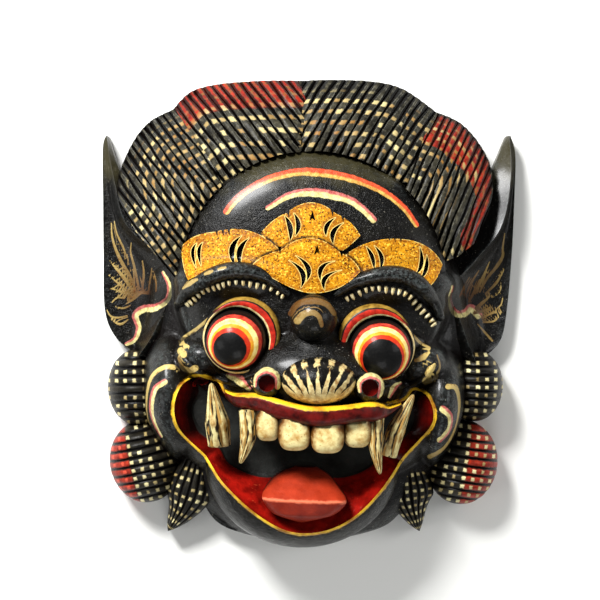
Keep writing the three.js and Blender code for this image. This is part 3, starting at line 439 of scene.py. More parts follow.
def as_form(name, bm, finish, place, paint=None):
    """A mesh object from a bmesh whose points are places in parameter space: place(points) gives
    millimetres, and paint(points, x, y) gives the two coordinates that the finish follows."""
    mesh = bpy.data.meshes.new(name)
    bm.to_mesh(mesh)
    bm.free()
    raw = np.empty(len(mesh.vertices) * 3)
    mesh.vertices.foreach_get("co", raw)
    raw = raw.reshape(-1, 3)
    spot = np.stack(place(raw), 1)
    mesh.vertices.foreach_set("co", (spot * MM).ravel())
    layer = mesh.uv_layers.new(name="Paint")
    corner = np.empty(len(mesh.loops), np.int32)
    mesh.loops.foreach_get("vertex_index", corner)
    coordinates = np.stack(paint(raw, spot[:, 0], spot[:, 1]), 1) if paint else raw[:, :2]
    layer.uv.foreach_set("vector", coordinates[corner].ravel())
    for key in FINISHES:
        mesh.materials.append(finish_of[key])
    mesh.polygons.foreach_set("material_index", np.full(len(mesh.polygons), FINISHES.index(finish)))
    mesh.update()
    check = bmesh.new()
    check.from_mesh(mesh)
    if check.calc_volume(signed=True) < 0:
        bmesh.ops.reverse_faces(check, faces=check.faces)
        check.to_mesh(mesh)
    check.free()
    piece = bpy.data.objects.new(name, mesh)
    bpy.context.scene.collection.objects.link(piece)
    return piece


def skirted(bm):
    """Carries the open edge of a sheet to a floor at -1 in parameter space, and closes it there."""
    rim = [edge for edge in bm.edges if edge.is_boundary]
    new = bmesh.ops.extrude_edge_only(bm, edges=rim)["geom"]
    for item in new:
        if isinstance(item, bmesh.types.BMVert):
            item.co.z = -1
    foot = [item for item in new if isinstance(item, bmesh.types.BMEdge) and item.is_boundary]
    bmesh.ops.contextual_create(bm, geom=foot)
    return bm


def block(name, columns, rows, finish, surface, paint=None):
    """A block with a shaped top: surface(u, v) gives the top, and the block goes straight down."""
    bm = bmesh.new()
    bmesh.ops.create_grid(bm, x_segments=columns, y_segments=rows, size=0.5)

    def place(raw):
        x, y, z = surface(raw[:, 0] + 0.5, raw[:, 1] + 0.5)
        return x, y, np.where(raw[:, 2] < -0.5, SAW, z)

    def coordinates(raw, x, y):
        return paint(raw[:, 0] + 0.5, raw[:, 1] + 0.5, x, y)

    return as_form(name, skirted(bm), finish, place, coordinates if paint else None)


def bowl(name, around, rings, finish, surface, floor=SAW):
    """A round block: surface(turn, t) gives its top from the middle, t = 0, to the edge, t = 1."""
    bm = bmesh.new()
    bmesh.ops.create_uvsphere(bm, u_segments=around, v_segments=2 * rings, radius=1)
    under = [vertex for vertex in bm.verts if vertex.co.z < -1e-4]
    bmesh.ops.delete(bm, geom=under, context="VERTS")

    def place(raw):
        turn = np.arctan2(raw[:, 1], raw[:, 0]) / (2 * np.pi) % 1
        t = np.hypot(raw[:, 0], raw[:, 1])
        t = np.arcsin(np.clip(t, 0, 1)) / (np.pi / 2)
        x, y, z = surface(turn, np.where(raw[:, 2] < -0.5, 1, t))
        return x, y, np.where(raw[:, 2] < -0.5, floor, z)

    return as_form(name, skirted(bm), finish, place)


def ball(name, middle, halves, around, rings, finish, paint=None):
    bm = bmesh.new()
    bmesh.ops.create_uvsphere(bm, u_segments=around, v_segments=rings, radius=1)

    def place(raw):
        return [middle[i] + halves[i] * raw[:, i] for i in range(3)]

    return as_form(name, bm, finish, place, paint)


def bar(name, sides, steps, finish, line, half, roundness=0.06, grooves=0):
    """A closed bar of oval section: line(s) gives its middle, and half(s) its half width in the plane
    of the face and its half height out of it. Its ends are rounded."""
    bm = bmesh.new()
    bmesh.ops.create_uvsphere(bm, u_segments=sides, v_segments=steps, radius=1)

    def place(raw):
        s = np.arccos(np.clip(-raw[:, 2], -1, 1)) / np.pi
        spoke = np.hypot(raw[:, 0], raw[:, 1])
        spoke = np.where(spoke < 1e-5, 1, spoke)
        middle = line(s)
        run = line(np.clip(s + 0.01, 0, 1)) - line(np.clip(s - 0.01, 0, 1))
        run = run / np.hypot(run[:, 0], run[:, 1])[:, None]
        wide, tall = half(s)
        if grooves:
            spin = np.arctan2(raw[:, 1], raw[:, 0])
            dip = 1 - HORN_GROOVE * np.abs(np.cos(grooves / 2 * spin + 2 * s)) ** 6
            wide, tall = wide * dip, tall * dip
        end = np.sqrt(np.clip(1 - (1 - np.minimum(np.minimum(s, 1 - s) / roundness, 1)) ** 2, 0, 1))
        across = raw[:, 0] / spoke * wide * end
        out = raw[:, 1] / spoke * tall * end
        return middle[:, 0] - run[:, 1] * across, middle[:, 1] + run[:, 0] * across, middle[:, 2] + out

    def coordinates(raw, x, y):
        return np.arctan2(raw[:, 1], raw[:, 0]) / np.pi, np.arccos(np.clip(-raw[:, 2], -1, 1)) / np.pi

    return as_form(name, bm, finish, place, coordinates)


def hoop(name, turns, sides, finish, line, half, paint=None):
    """A closed ring of oval section along line(turn): half(turn) gives its half width and half height."""
    bm = bmesh.new()
    bmesh.ops.create_circle(bm, segments=sides, radius=1)
    upright = Matrix.Rotation(math.pi / 2, 3, "X")
    bmesh.ops.rotate(bm, verts=bm.verts, cent=(0, 0, 0), matrix=upright)
    bmesh.ops.translate(bm, verts=bm.verts, vec=(HOOP, 0, 0))
    bmesh.ops.spin(bm, geom=bm.verts[:] + bm.edges[:], cent=(0, 0, 0), axis=(0, 0, 1), dvec=(0, 0, 0),
                   angle=2 * math.pi, steps=turns, use_merge=True, use_duplicate=False)

    def place(raw):
        radius = np.hypot(raw[:, 0], raw[:, 1])
        turn = np.arctan2(raw[:, 1], raw[:, 0]) / (2 * np.pi) % 1
        middle = line(turn)
        run = line(turn + 0.003) - line(turn - 0.003)
        run = run / np.hypot(run[:, 0], run[:, 1])[:, None]
        wide, tall = half(turn)
        across, out = (radius - HOOP) * wide, raw[:, 2] * tall
        return middle[:, 0] + run[:, 1] * across, middle[:, 1] - run[:, 0] * across, middle[:, 2] + out

    return as_form(name, bm, finish, place, paint)


def prism(name, outline, finish, floor=SAW, roof=SKY):
    """An upright prism of a flat outline, in millimetres."""
    outline = np.asarray(outline, float)
    count = len(outline)
    bm = bmesh.new()
    bmesh.ops.create_circle(bm, cap_ends=True, segments=count, radius=1)
    for item in bmesh.ops.extrude_face_region(bm, geom=bm.faces[:])["geom"]:
        if isinstance(item, bmesh.types.BMVert):
            item.co.z = 1

    def place(raw):
        corner = np.rint(np.arctan2(raw[:, 1], raw[:, 0]) / (2 * np.pi) * count).astype(int) % count
        return outline[corner, 0], outline[corner, 1], np.where(raw[:, 2] > 0.5, roof, floor)

    return as_form(name, bm, finish, place)


def carve(body, *steps):
    """Joins and cuts in turn: each step is an operation, UNION, DIFFERENCE or INTERSECT, and forms."""
    for operation, forms in steps:
        for form in forms:
            cut = body.modifiers.new(form.name, "BOOLEAN")
            cut.operation = operation
            cut.solver = "MANIFOLD"
            cut.object = form
    graph = bpy.context.evaluated_depsgraph_get()
    result = bpy.data.meshes.new_from_object(body.evaluated_get(graph))
    body.modifiers.clear()
    body.data = result
    for _, forms in steps:
        for form in forms:
            bpy.data.objects.remove(form)
    return body


# ------------------------------------------------------------------ the forms

def make_face():
    def surface(turn, t):
        t = t ** 0.9  # the rings lie a little closer together towards the edge
        edge = along(FACE_EDGE, turn, closed=True)
        x = mix(FACE_MIDDLE[0], edge[:, 0], t)
        y = mix(FACE_MIDDLE[1], edge[:, 1], t)
        edge_round = np.sqrt(np.clip(1 - t ** ROUNDING, 0, 1))
        return x, y, RIM_THICKNESS + (brow_to_chin(x, y) - RIM_THICKNESS) * edge_round

    return bowl("face", 320, 84, "skin", surface)


def make_jaw():
    middle_x, middle_y, across, length = JAW[:4]

    def surface(turn, t):
        reach = np.sin(np.pi / 2 * t)
        x = middle_x + across * reach * np.cos(2 * np.pi * turn)
        y = middle_y + length * reach * np.sin(2 * np.pi * turn)
        return x, y, swelling(x, y, *JAW)

    return bowl("jaw", 240, 44, "skin", surface)


def hair_height(x, y, start, end):
    """The hair without its flutes: high at the forehead, low at the outer edge and along its sides."""
    radius = np.hypot(x - HAIR_MIDDLE[0], y - HAIR_MIDDLE[1])
    angle = np.arctan2(y - HAIR_MIDDLE[1], x - HAIR_MIDDLE[0])
    outwards = np.clip((radius - HAIR_INNER) / HAIR_REACH, 0, 1)
    sideways = np.clip(2 * (angle - start) / (end - start) - 1, -1, 1)
    sag = HAIR_SAG * sideways ** 4
    return mix(HAIR_INNER_HEIGHT, HAIR_EDGE_HEIGHT, outwards ** HAIR_CURVE) - sag


def make_lobe(number, comb, pitch, bend, row, left, outer, right):
    cx, cy = HAIR_MIDDLE

    def angle_of(point):
        return math.atan2(point[1] - cy, point[0] - cx)

    start, end = angle_of(right[1]), angle_of(left[1])
    side = left[::-1] if left[0][1] > left[-1][1] else left
    outline = list(side)
    outline += [tuple(p) for p in along(outer, np.linspace(0, 1, 33)[1:])]
    c, s = math.cos(-HAIR_OVERLAP), math.sin(-HAIR_OVERLAP)
    outline += [(cx + c * (x - cx) - s * (y - cy), cy + s * (x - cx) + c * (y - cy)) for x, y in right]
    last, first = angle_of(right[-1]) - HAIR_OVERLAP, angle_of(side[0])
    for angle in np.linspace(last, first, 26)[1:-1]:
        outline.append((cx + HAIR_INNER * math.cos(angle), cy + HAIR_INNER * math.sin(angle)))
    # The comb: parallel flutes on a block that covers the outline.
    corners = np.array(outline)
    lengthwise = np.array([math.cos(math.radians(comb)), math.sin(math.radians(comb))])
    crosswise = np.array([lengthwise[1], -lengthwise[0]])
    first_flute, last_flute = (corners @ crosswise).min() - pitch, (corners @ crosswise).max() + pitch
    near, far = (corners @ lengthwise).min() - 2, (corners @ lengthwise).max() + 2
    flutes = math.ceil((last_flute - first_flute) / pitch) + 3
    columns = len(FLUTE_STEPS) * flutes

    def flute_at(u):
        flute, step = np.divmod(np.rint(u * columns).astype(int), len(FLUTE_STEPS))
        return flute + FLUTE_STEPS[step], FLUTE_RISES[step]

    def surface(u, v):
        flute, rise = flute_at(u)
        s = mix(near, far, v)
        # the knife wanders by up to 0.6 mm, and leaves the crests up to 0.45 mm uneven
        wander = 0.35 * np.sin(flute * 2.1 + s * 0.11) + 0.25 * np.sin(flute * 5.3 - s * 0.23)
        t = first_flute - pitch * 1.5 + flute * pitch + bend * (s - near) ** 2 + wander
        x = crosswise[0] * t + lengthwise[0] * s
        y = crosswise[1] * t + lengthwise[1] * s
        radius = np.hypot(x - cx, y - cy)
        depth = mix(HAIR_NOTCH, HAIR_GROOVE, np.clip((radius - HAIR_INNER) / NOTCH_LENGTH, 0, 1))
        uneven = 0.25 * np.sin(flute * 3.7 + 1) + 0.2 * np.sin(s * 0.31 + flute * 1.9)
        return x, y, hair_height(x, y, start, end) - (1 - rise) * depth + uneven * rise

    def paint(u, v, x, y):
        flute, _ = flute_at(u)
        gap, _ = gap_to(along(outer, np.linspace(0, 1, 80)), x, y)
        return flute + FLUTES_APART * number, gap / row

    comb_block = block("hair", columns, 34, "hair", surface, paint)
    return carve(comb_block, ("INTERSECT", [prism("lobe outline", outline, "hair")]))


def make_ear(outer, crest, inner):
    def surface(u, v):
        a, b, c = along(outer, v), along(crest, v), along(inner, v)
        in_bowl = u <= EAR_CREST_AT
        s = np.where(in_bowl, u / EAR_CREST_AT, (u - EAR_CREST_AT) / (1 - EAR_CREST_AT))
        x = np.where(in_bowl, mix(a[:, 0], b[:, 0], s), mix(b[:, 0], c[:, 0], s))
        y = np.where(in_bowl, mix(a[:, 1], b[:, 1], s), mix(b[:, 1], c[:, 1], s))
        crest_height = mix(EAR_CREST, EAR_TIP, v ** 3)
        edge_height = mix(EAR_EDGE, EAR_TIP_EDGE, v)
        dish = EAR_DISH * np.sin(np.pi * s) * (1 - v)
        bowl_height = edge_height + (crest_height - edge_height) * s ** 2.2 - dish
        inner_height = mix(crest_height, EAR_INNER * (1 - v ** 3) + EAR_TIP_INNER * v ** 3, s)
        return x, y, np.where(in_bowl, bowl_height, inner_height)

    return block("ear", 44, 96, "skin", surface)


def make_curl(number, middle_x, middle_y, across, length, turn, flutes):
    rows = 6 * flutes
    c, s = math.cos(math.radians(turn)), math.sin(math.radians(turn))

    def surface(u, v):
        h = CURL_FULL * (2 * v - 1)
        w = np.sin(np.pi / 2 * (2 * u - 1))
        dome = np.sqrt(np.clip(1 - h * h, 0, 1)) * np.sqrt(np.clip(1 - w * w, 0, 1))
        groove = CURL_GROOVE * (1 - np.abs(np.sin(np.pi * v * flutes)) ** 0.7)
        x, y = across * np.sqrt(1 - h * h) * w, length * h
        return (middle_x + c * x - s * y, middle_y + s * x + c * y,
                mix(CURL_EDGE, CURL_TOP, dome) - groove)

    def paint(u, v, x, y):
        w = np.sin(np.pi / 2 * (2 * u - 1))
        h = CURL_FULL * (2 * v - 1)
        return across * np.sqrt(1 - h ** 2) * w, v * flutes + RIDGES_APART * number

    return block("curl", 30, rows, "curls", surface, paint)


def make_lock(number, line):
    columns = 6 * LOCK_FLUTES

    def surface(u, v):
        p = along(line, v)
        run = along(line, v + 0.01) - along(line, v - 0.01)
        run = run / np.hypot(run[:, 0], run[:, 1])[:, None]
        w = 2 * u - 1
        half = LOCK_HALF * np.minimum(1, 0.35 + 1.5 * v) * np.minimum(1, 0.05 + 2.1 * (1 - v))
        groove = LOCK_GROOVE * (1 - np.abs(np.sin(np.pi * u * LOCK_FLUTES)) ** 0.7)
        z = mix(LOCK_TOP, LOCK_TIP, v ** 2) - LOCK_CROWN * w * w - groove
        return p[:, 0] - run[:, 1] * w * half, p[:, 1] + run[:, 0] * w * half, z

    def paint(u, v, x, y):
        return LOCK_LENGTH * v, u * LOCK_FLUTES + RIDGES_APART * (len(CURLS) + number)

    return block("lock", columns, 34, "curls", surface, paint)


def arc(start, pull, end, steps):
    t = np.linspace(0, 1, steps + 1)[1:, None]
    start, pull, end = (np.array(p, float) for p in (start, pull, end))
    return (1 - t) ** 2 * start + 2 * t * (1 - t) * pull + t * t * end


def leaf_outline(start, arcs):
    points, here = [], start
    for pull_x, pull_y, end_x, end_y in arcs:
        points.extend(arc(here, (pull_x, pull_y), (end_x, end_y), 14))
        here = (end_x, end_y)
    return np.array(points)


def crescent(x1, y1, x2, y2, x3, y3, width):
    """A thin crescent between two arcs from top to foot, past a place it bulges to."""
    pull = np.array([2 * x2 - (x1 + x3) / 2, 2 * y2 - (y1 + y3) / 2])
    there = arc((x1, y1), pull + (width * KNIFE_SWAY, 0), (x3, y3), 8)
    back = arc((x3, y3), pull - (width * KNIFE_SWAY, 0), (x1, y1), 8)
    return np.vstack([there, back])


def make_leaf(rise, start, arcs, cuts, tick):
    def surface(u, v):
        x, y = mix(LEAVES_LEFT, LEAVES_RIGHT, u), mix(LEAVES_FOOT, LEAVES_TOP, v)
        return x, y, face_height(x, y) + rise

    leaf = block("leaf", 128, 48, "gold", surface)
    knives = []
    for cut in cuts:
        knives.append(prism("cut", crescent(*cut), "skin"))
    from_edge, _ = gap_to(fine(leaf_outline(start, arcs)), *np.transpose(NICKS))
    for x, y in np.array(NICKS)[from_edge < NICK_REACH]:
        knives.append(prism("nick", [(x + dx, y + dy) for dx, dy in NICK], "skin"))
    if tick:
        knives.append(prism("tick", [(tick[0] + dx, tick[1] + dy) for dx, dy in TICK], "skin"))
    outline = prism("leaf outline", leaf_outline(start, arcs), "gold")
    return carve(leaf, ("INTERSECT", [outline]), ("DIFFERENCE", knives))


def make_brow(points):
    def line(s):
        p = along(points, s)
        return np.column_stack([p, face_height(p[:, 0], p[:, 1]) + BROW_LIFT])

    def half(s):
        taper = 0.45 + 0.55 * np.sin(np.pi * s)
        return BROW_HALF * taper, BROW_HEIGHT * taper

    return bar("brow", 24, 90, "skin", line, half)


def make_bristles(roots, count, first, last):
    """A row of short bristles along the lower edge of a brow, each pointing away from it."""
    forms = []
    for share in np.linspace(0, 1, count):
        (x, y), ahead, behind = (along(roots, np.array([share + d]))[0] for d in (0, 0.01, -0.01))
        run = (ahead - behind) / np.hypot(*(ahead - behind))
        length = mix(first, last, share) * (0.9 + 0.2 * math.sin(7 * share * count))
        root = np.array([x, y]) + BRISTLE_ROOT * np.array([-run[1], run[0]])
        tip = np.array([x, y]) - length * BRISTLE_SHARE * np.array([-run[1], run[0]])
        height = face_height(np.array([x]), np.array([y]))[0] + BRISTLE_OUT

        def line(s, root=root, tip=tip, height=height):
            return np.column_stack([mix(root[0], tip[0], s), mix(root[1], tip[1], s), height - 1.2 * s])

        def half(s):
            return BRISTLE_HALF * (1 - 0.45 * s), BRISTLE_OUT * (1 - 0.3 * s)

        forms.append(bar("bristle", 8, 8, "bristles", line, half, roundness=0.3))
    return forms


def make_fold(points, half_width, rise):
    def line(s):
        p = along(points, s)
        return np.column_stack([p, face_height(p[:, 0], p[:, 1])])

    def half(s):
        taper = np.sin(np.pi * np.clip(s, 0, 1)) ** 0.7
        return half_width * taper + 0.1, rise * taper + 0.1

    return bar("fold", 16, 44, "skin", line, half)


def make_eye(x, y, ball_x, ball_y, radius, pupil_x, pupil_y, pupil, lean):
    def rings(raw, px, py):
        """0 at the pupil's edge and 1 at the eyeball's, for the painted rings drift across the eye."""
        gap_x, gap_y = px - pupil_x, py - pupil_y
        drift_x, drift_y, growth = ball_x - pupil_x, ball_y - pupil_y, radius - pupil
        a = drift_x ** 2 + drift_y ** 2 - growth ** 2
        b = gap_x * drift_x + gap_y * drift_y + pupil * growth
        c = gap_x ** 2 + gap_y ** 2 - pupil ** 2
        return (b - np.sqrt(np.clip(b * b - a * c, 0, None))) / a, np.arctan2(gap_y, gap_x) / np.pi

    globe = ball("eyeball", (ball_x, ball_y, EYE_MIDDLE), (radius,) * 3, 72, 48, "eyes", rings)

    def inner(turn):
        """How far the eyeball's edge is from the lid's middle."""
        angle = 2 * np.pi * turn
        return (ball_x - x) * np.cos(angle) + (ball_y - y) * np.sin(angle) + radius

    def lid_line(turn):
        out = (EYE_LID + inner(turn)) / 2
        angle = 2 * np.pi * turn
        height = np.full_like(turn, LID_HEIGHT)
        return np.column_stack([x + out * np.cos(angle), y + out * np.sin(angle), height])

    def lid_half(turn):
        return np.maximum((EYE_LID - inner(turn)) / 2, LID_THIN), LID_THICK

    def on_lid(raw, px, py):
        """How far across the lid, from 0 at the eyeball to 1 at the outside, and how wide it is."""
        angle = np.arctan2(py - y, px - x)
        gap = inner(angle / (2 * np.pi))
        return (np.hypot(px - x, py - y) - gap) / np.maximum(EYE_LID - gap, 2 * LID_THIN), EYE_LID - gap

    lid = hoop("eyelid", 96, 20, "eyelids", lid_line, lid_half, on_lid)
    corner_x = x - lean * EYE_CORNER
    corner_height = face_height(np.array([corner_x]), np.array([y], float))[0] - 1

    def line(s):
        return np.column_stack([mix(x - lean * (EYE_LID - CORNER_INSIDE), corner_x, s), y - 1 - s,
                                mix(LID_HEIGHT, corner_height, s)])

    def half(s):
        return mix(*CORNER_WIDE, np.sqrt(s)), mix(*CORNER_TALL, s)

    corner = bar("eye corner", 20, 30, "skin", line, half)
    return [lid, corner, globe]


def make_nose():
    x, y, z, radius = KNOB
    petals = ball("nose tip", NOSE_MIDDLE, NOSE_HALVES, 72, 44, "nose", lambda raw, px, py: raw[:, :2].T)
    forms = [petals, ball("knob", (x, y, z), (radius,) * 3, 64, 36, "skin")]
    for nx, ny in NOSTRILS:
        wing = ball("nostril", (nx, ny, NOSTRIL_MIDDLE), (NOSTRIL_RADIUS,) * 3, 40, 28, "skin")
        turn = np.linspace(0, 2 * np.pi, 29)[:-1]
        outline = np.column_stack([nx + NOSTRIL_HOLE * np.cos(turn), ny + NOSTRIL_HOLE * np.sin(turn)])
        top = NOSTRIL_MIDDLE + NOSTRIL_RADIUS
        hole = prism("nostril hole", outline, "gums", top - NOSTRIL_DEPTH, top + NOSTRIL_DEPTH)
        forms.append(carve(wing, ("DIFFERENCE", [hole])))
    return forms


def make_upper_lip():
    def surface(u, v):
        a, b = along(LIP_LOWER, u), along(LIP_UPPER, u)
        front = mix(LIP_CORNER, LIP_FRONT, np.sin(np.pi * u) ** 0.75)
        roll = LIP_ROLL * np.sqrt(np.clip(1 - (2 * v - 1) ** 4, 0, 1)) - LIP_ROLL * (1 - v) ** 6
        return mix(a[:, 0], b[:, 0], v), mix(a[:, 1], b[:, 1], v), front + roll

    return block("upper lip", 120, 18, "lip", surface, lambda u, v, x, y: (u, v))


def make_mouth():
    def surface(turn, t):
        p, q = along(MOUTH_EDGE, turn, closed=True), along(CAVITY_EDGE, turn, closed=True)
        rim = face_height(p[:, 0], p[:, 1]) - 1
        slope, inwards = np.clip(2 * (1 - t), 0, 1), np.clip(2 * t, 0, 1)
        x = mix(MOUTH_MIDDLE[0], mix(p[:, 0], q[:, 0], slope), inwards)
        y = mix(MOUTH_MIDDLE[1], mix(p[:, 1], q[:, 1], slope), inwards)
        back = mix(CAVITY_BACK, CAVITY_HEIGHT, inwards)
        return x, y, np.where(t < 0.5, back, mix(rim, CAVITY_HEIGHT, slope))

    return bowl("mouth", 264, 32, "gums", surface, floor=SKY)


def make_mouth_bead():
    def line(turn):
        p = along(MOUTH_EDGE, turn, closed=True)
        return np.column_stack([p, face_height(p[:, 0], p[:, 1]) - BEAD_SUNK])

    return hoop("mouth edge", 300, 10, "skin", line, lambda turn: BEAD_HALVES)


def make_tooth(x, y, wide, high, forward):
    bm = bmesh.new()
    bmesh.ops.create_cube(bm, size=2)
    bmesh.ops.subdivide_edges(bm, edges=bm.edges[:], cuts=11, use_grid_fill=True)

    def place(raw):
        size = (np.abs(raw) ** TOOTH_SQUARE).sum(1) ** (1 / TOOTH_SQUARE) / TOOTH_FULL
        p = raw / size[:, None]
        return x + p[:, 0] * wide / 2, y + p[:, 1] * high / 2, forward + p[:, 2] * TOOTH_DEEP / 2

    def across_and_up(raw, px, py):
        return (px - x) / wide * 2, (py - y) / high * 2

    return as_form("tooth", bm, "teeth", place, across_and_up)


def make_horn(points, halves):
    def half(s):
        wide = np.interp(s, [0, 0.5, 1], halves)
        return wide, wide * HORN_DEPTH

    return bar("tusk", 48, 48, "tusks", lambda s: along(points, s), half, grooves=HORN_GROOVES)


def make_tongue():
    knots = np.linspace(0, 1, len(TONGUE_HEIGHT))

    def surface(u, v):
        a, b = along(TONGUE_LEFT, v), along(TONGUE_RIGHT, v)
        side = (2 * u - 1) ** 2
        z = np.interp(v, knots, TONGUE_HEIGHT) - TONGUE_CROWN * side - TONGUE_LIP * side ** 4
        return mix(a[:, 0], b[:, 0], u), mix(a[:, 1], b[:, 1], u), z

    return block("tongue", 40, 44, "tongue", surface, lambda u, v, x, y: (u, v))


def make_hollow(x, y, across, length, deep):
    return ball("hollow", (x, y, 0), (across, length, deep), 96, 48, "wood")


def make_saw():
    span = 200
    return prism("saw", [(-span, -span), (span, -span), (span, span), (-span, span)], "wood", SAW - 10, 0)


# ------------------------------------------------------------------ finishes

def linear(hex_code):
    """An sRGB hex colour as linear RGBA."""
    parts = [int(hex_code[i:i + 2], 16) / 255 for i in (1, 3, 5)]
    return [p / 12.92 if p <= 0.04045 else ((p + 0.055) / 1.055) ** 2.4 for p in parts] + [1]


def add(kind, *values, out=0, **settings):
    """Adds a shader node to the finish in hand, with its settings. The values go to its sockets in their
    order, colours in hex, and a None leaves a socket as it is. Gives back one of its outputs."""
    node = paint.nodes.new("ShaderNode" + kind)
    for key, value in settings.items():
        setattr(node, key, value)
    sockets = [socket for socket in node.inputs if socket.enabled]
    for socket, value in zip(sockets, values):
        if isinstance(value, bpy.types.NodeSocket):
            paint.links.new(value, socket)
        elif value is not None:
            socket.default_value = linear(value) if isinstance(value, str) else value
    return node.outputs[out] if isinstance(out, str) else [o for o in node.outputs if o.enabled][out]


def begin(name):
    global paint
    material = bpy.data.materials.new(name)
    material.use_nodes = True
    paint = material.node_tree
    return material


def mottle(size, low=0.35, high=0.65, detail=3, stretch=None):
    """Patches from 0 to 1, the given size across in millimetres, harder as low and high come together."""
    where = add("TexCoord", out="Object")
    if stretch:
        where = add("Mapping", where, None, None, stretch)
    noise = add("TexNoise", where, 1 / (2 * size * MM), detail, 0.55)
    return add("MapRange", noise, low, high, 0, 1)


def above(value, edge, soft):
    return add("MapRange", value, edge - soft, edge + soft, 0, 1)


def brushwork(colour, strokes, left, right, split=0.0, rag=0.35):
    """Lays the two paints of a kind of brush stroke over a colour, with a hand brush's ragged edge."""
    place = add("Attribute", out="Vector", attribute_name=strokes)
    across, ends, away = add("SeparateXYZ", place).node.outputs
    rough = add("Math", mottle(1.3, 0.2, 0.8), 0.5, operation="SUBTRACT")
    rough = add("Math", rough, rag, operation="MULTIPLY")
    beyond = add("Math", ends, 0, operation="MINIMUM")
    gap = add("CombineXYZ", across, beyond, 0)
    inside = add("Math", 1, add("VectorMath", gap, operation="LENGTH", out="Value"), operation="SUBTRACT")
    inside = add("Math", inside, rough, operation="ADD")
    mask = above(inside, 0.06, 0.1)
    mask = add("Math", mask, above(add("Math", 2.3, away, operation="SUBTRACT"), 0.2, 0.2),
               operation="MULTIPLY")
    side = above(add("Math", across, rough, operation="ADD"), split, 0.16)
    two = add("Mix", side, right, left, data_type="RGBA")
    return add("Mix", mask, colour, two, data_type="RGBA"), mask


def finish(colour, roughness, height, depth, coat=0.0, hollow_shade=1.0):
    """Ends a finish: painted shade that darkens the hollows, its roughness, a thin varnish as coat, and a
    relief whose depth is in millimetres."""
    shader = paint.nodes["Principled BSDF"]
    shader.inputs["IOR"].default_value = 1.42
    shader.inputs["Specular IOR Level"].default_value = 0.2
    shader.inputs["Coat Weight"].default_value = coat
    shader.inputs["Coat Roughness"].default_value = 0.18
    swell = add("Attribute", out="Fac", attribute_name="swell")
    swell = add("Math", swell, add("Math", mottle(2, 0.3, 0.7), 0.12, operation="MULTIPLY"), operation="ADD")
    # painted shade: places lying below the smoothed surface around them are darkened towards near black
    hollow = add("MapRange", swell, -0.05, -0.42, 0, 0.85 * hollow_shade)
    colour = add("Mix", hollow, colour, "#070302", data_type="RGBA")
    bump = add("Bump", 1.0, depth * MM, None, height, out="Normal")
    for socket, value in (("Base Color", colour), ("Roughness", roughness), ("Normal", bump)):
        paint.links.new(value, shader.inputs[socket])


def black_paint():
    """Black gloss paint: brown where it is thin, olive towards the hair, a painted blue-grey sheen on the
    high places, and fine pale specks."""
    ground = add("Mix", mottle(5, 0.3, 0.7, 4), "#020202", "#090806", data_type="RGBA")
    ground = add("Mix", mottle(9, 0.48, 0.74, 5), ground, "#15130e", data_type="RGBA")
    _, y, z = add("SeparateXYZ", add("TexCoord", out="Object")).node.outputs
    band = add("Math", y, add("Math", mottle(6), 12 * MM, operation="MULTIPLY"), operation="ADD")
    band = add("MapRange", band, 76 * MM, 92 * MM, 0, 0.9)
    ground = add("Mix", band, ground, "#3a3623", data_type="RGBA")
    swell = add("Attribute", out="Fac", attribute_name="swell")
    # painted sheen: blue-grey laid on the places that stand out, standing in for the reflection of the lamps
    painted_sheen = add("MapRange", swell, 0.35, 1.1, 0, 0.8)
    painted_sheen = add("Math", painted_sheen, mottle(0.9, 0.46, 0.7, 4), operation="MULTIPLY")
    painted_sheen = add("Math", painted_sheen, add("MapRange", z, 8 * MM, 24 * MM, 0, 1), operation="MULTIPLY")
    ground = add("Mix", painted_sheen, ground, "#4a5150", data_type="RGBA")
    return add("Mix", mottle(0.5, 0.67, 0.75, 2), ground, "#7b776c", data_type="RGBA")


def relief():
    """Knife facets a few millimetres wide under fine brush marks."""
    facets = mottle(2.4, 0.2, 0.8, 1)
    return add("Math", facets, add("Math", mottle(0.45, 0.2, 0.8, 3), 0.6, operation="MULTIPLY"),
               operation="ADD")


def streaked(colour_a, colour_b, size=1.2):
    """Two shades of one paint in patches of the given size in millimetres."""
    return add("Mix", mottle(size, 0.3, 0.7, 4), colour_a, colour_b, data_type="RGBA")


def make_skin():
    """Black gloss paint over carved softwood: with the grain of the brush, and the painted lines."""
    material = begin("black gloss paint on carved softwood")
    colour = black_paint()
    gap = add("Attribute", out="Fac", attribute_name="mouth")
    rough = add("Math", mottle(1.6, 0.2, 0.8, 3), 1.1, operation="MULTIPLY")
    ragged = add("Math", gap, rough, operation="ADD")
    rim = add("Mix", mottle(6, 0.35, 0.6, 3), "#9a6414", "#f0c32c", data_type="RGBA")
    colour = add("Mix", above(ragged, -1.2, 0.3), colour, rim, data_type="RGBA")
    colour = add("Mix", above(ragged, 1.5, 0.3), colour, streaked("#7d120b", "#b3201a", 3), data_type="RGBA")
    red, yellow = streaked("#b8381c", "#e2603a"), streaked("#a8702a", "#d8b45c")
    colour, _ = brushwork(colour, "fire", red, yellow, -0.1)
    pink, cream = streaked("#a3403c", "#c97a70"), streaked("#b5a263", "#efe6a2")
    colour, _ = brushwork(colour, "petal", pink, cream, 0.2)
    tone = add("Attribute", out="Alpha", attribute_name="gilt")
    ochre = add("Mix", tone, "#50290a", "#d6bd72", data_type="RGBA")
    dark = add("Mix", mottle(0.9, 0.45, 0.75, 3), ochre, "#6a3c14", data_type="RGBA")
    colour, _ = brushwork(colour, "gilt", dark, ochre, 0.35, 0.3)
    finish(colour, add("MapRange", mottle(4, 0.2, 0.8, 4), 0, 1, 0.24, 0.42), relief(), 0.45, 0.2)
    return material


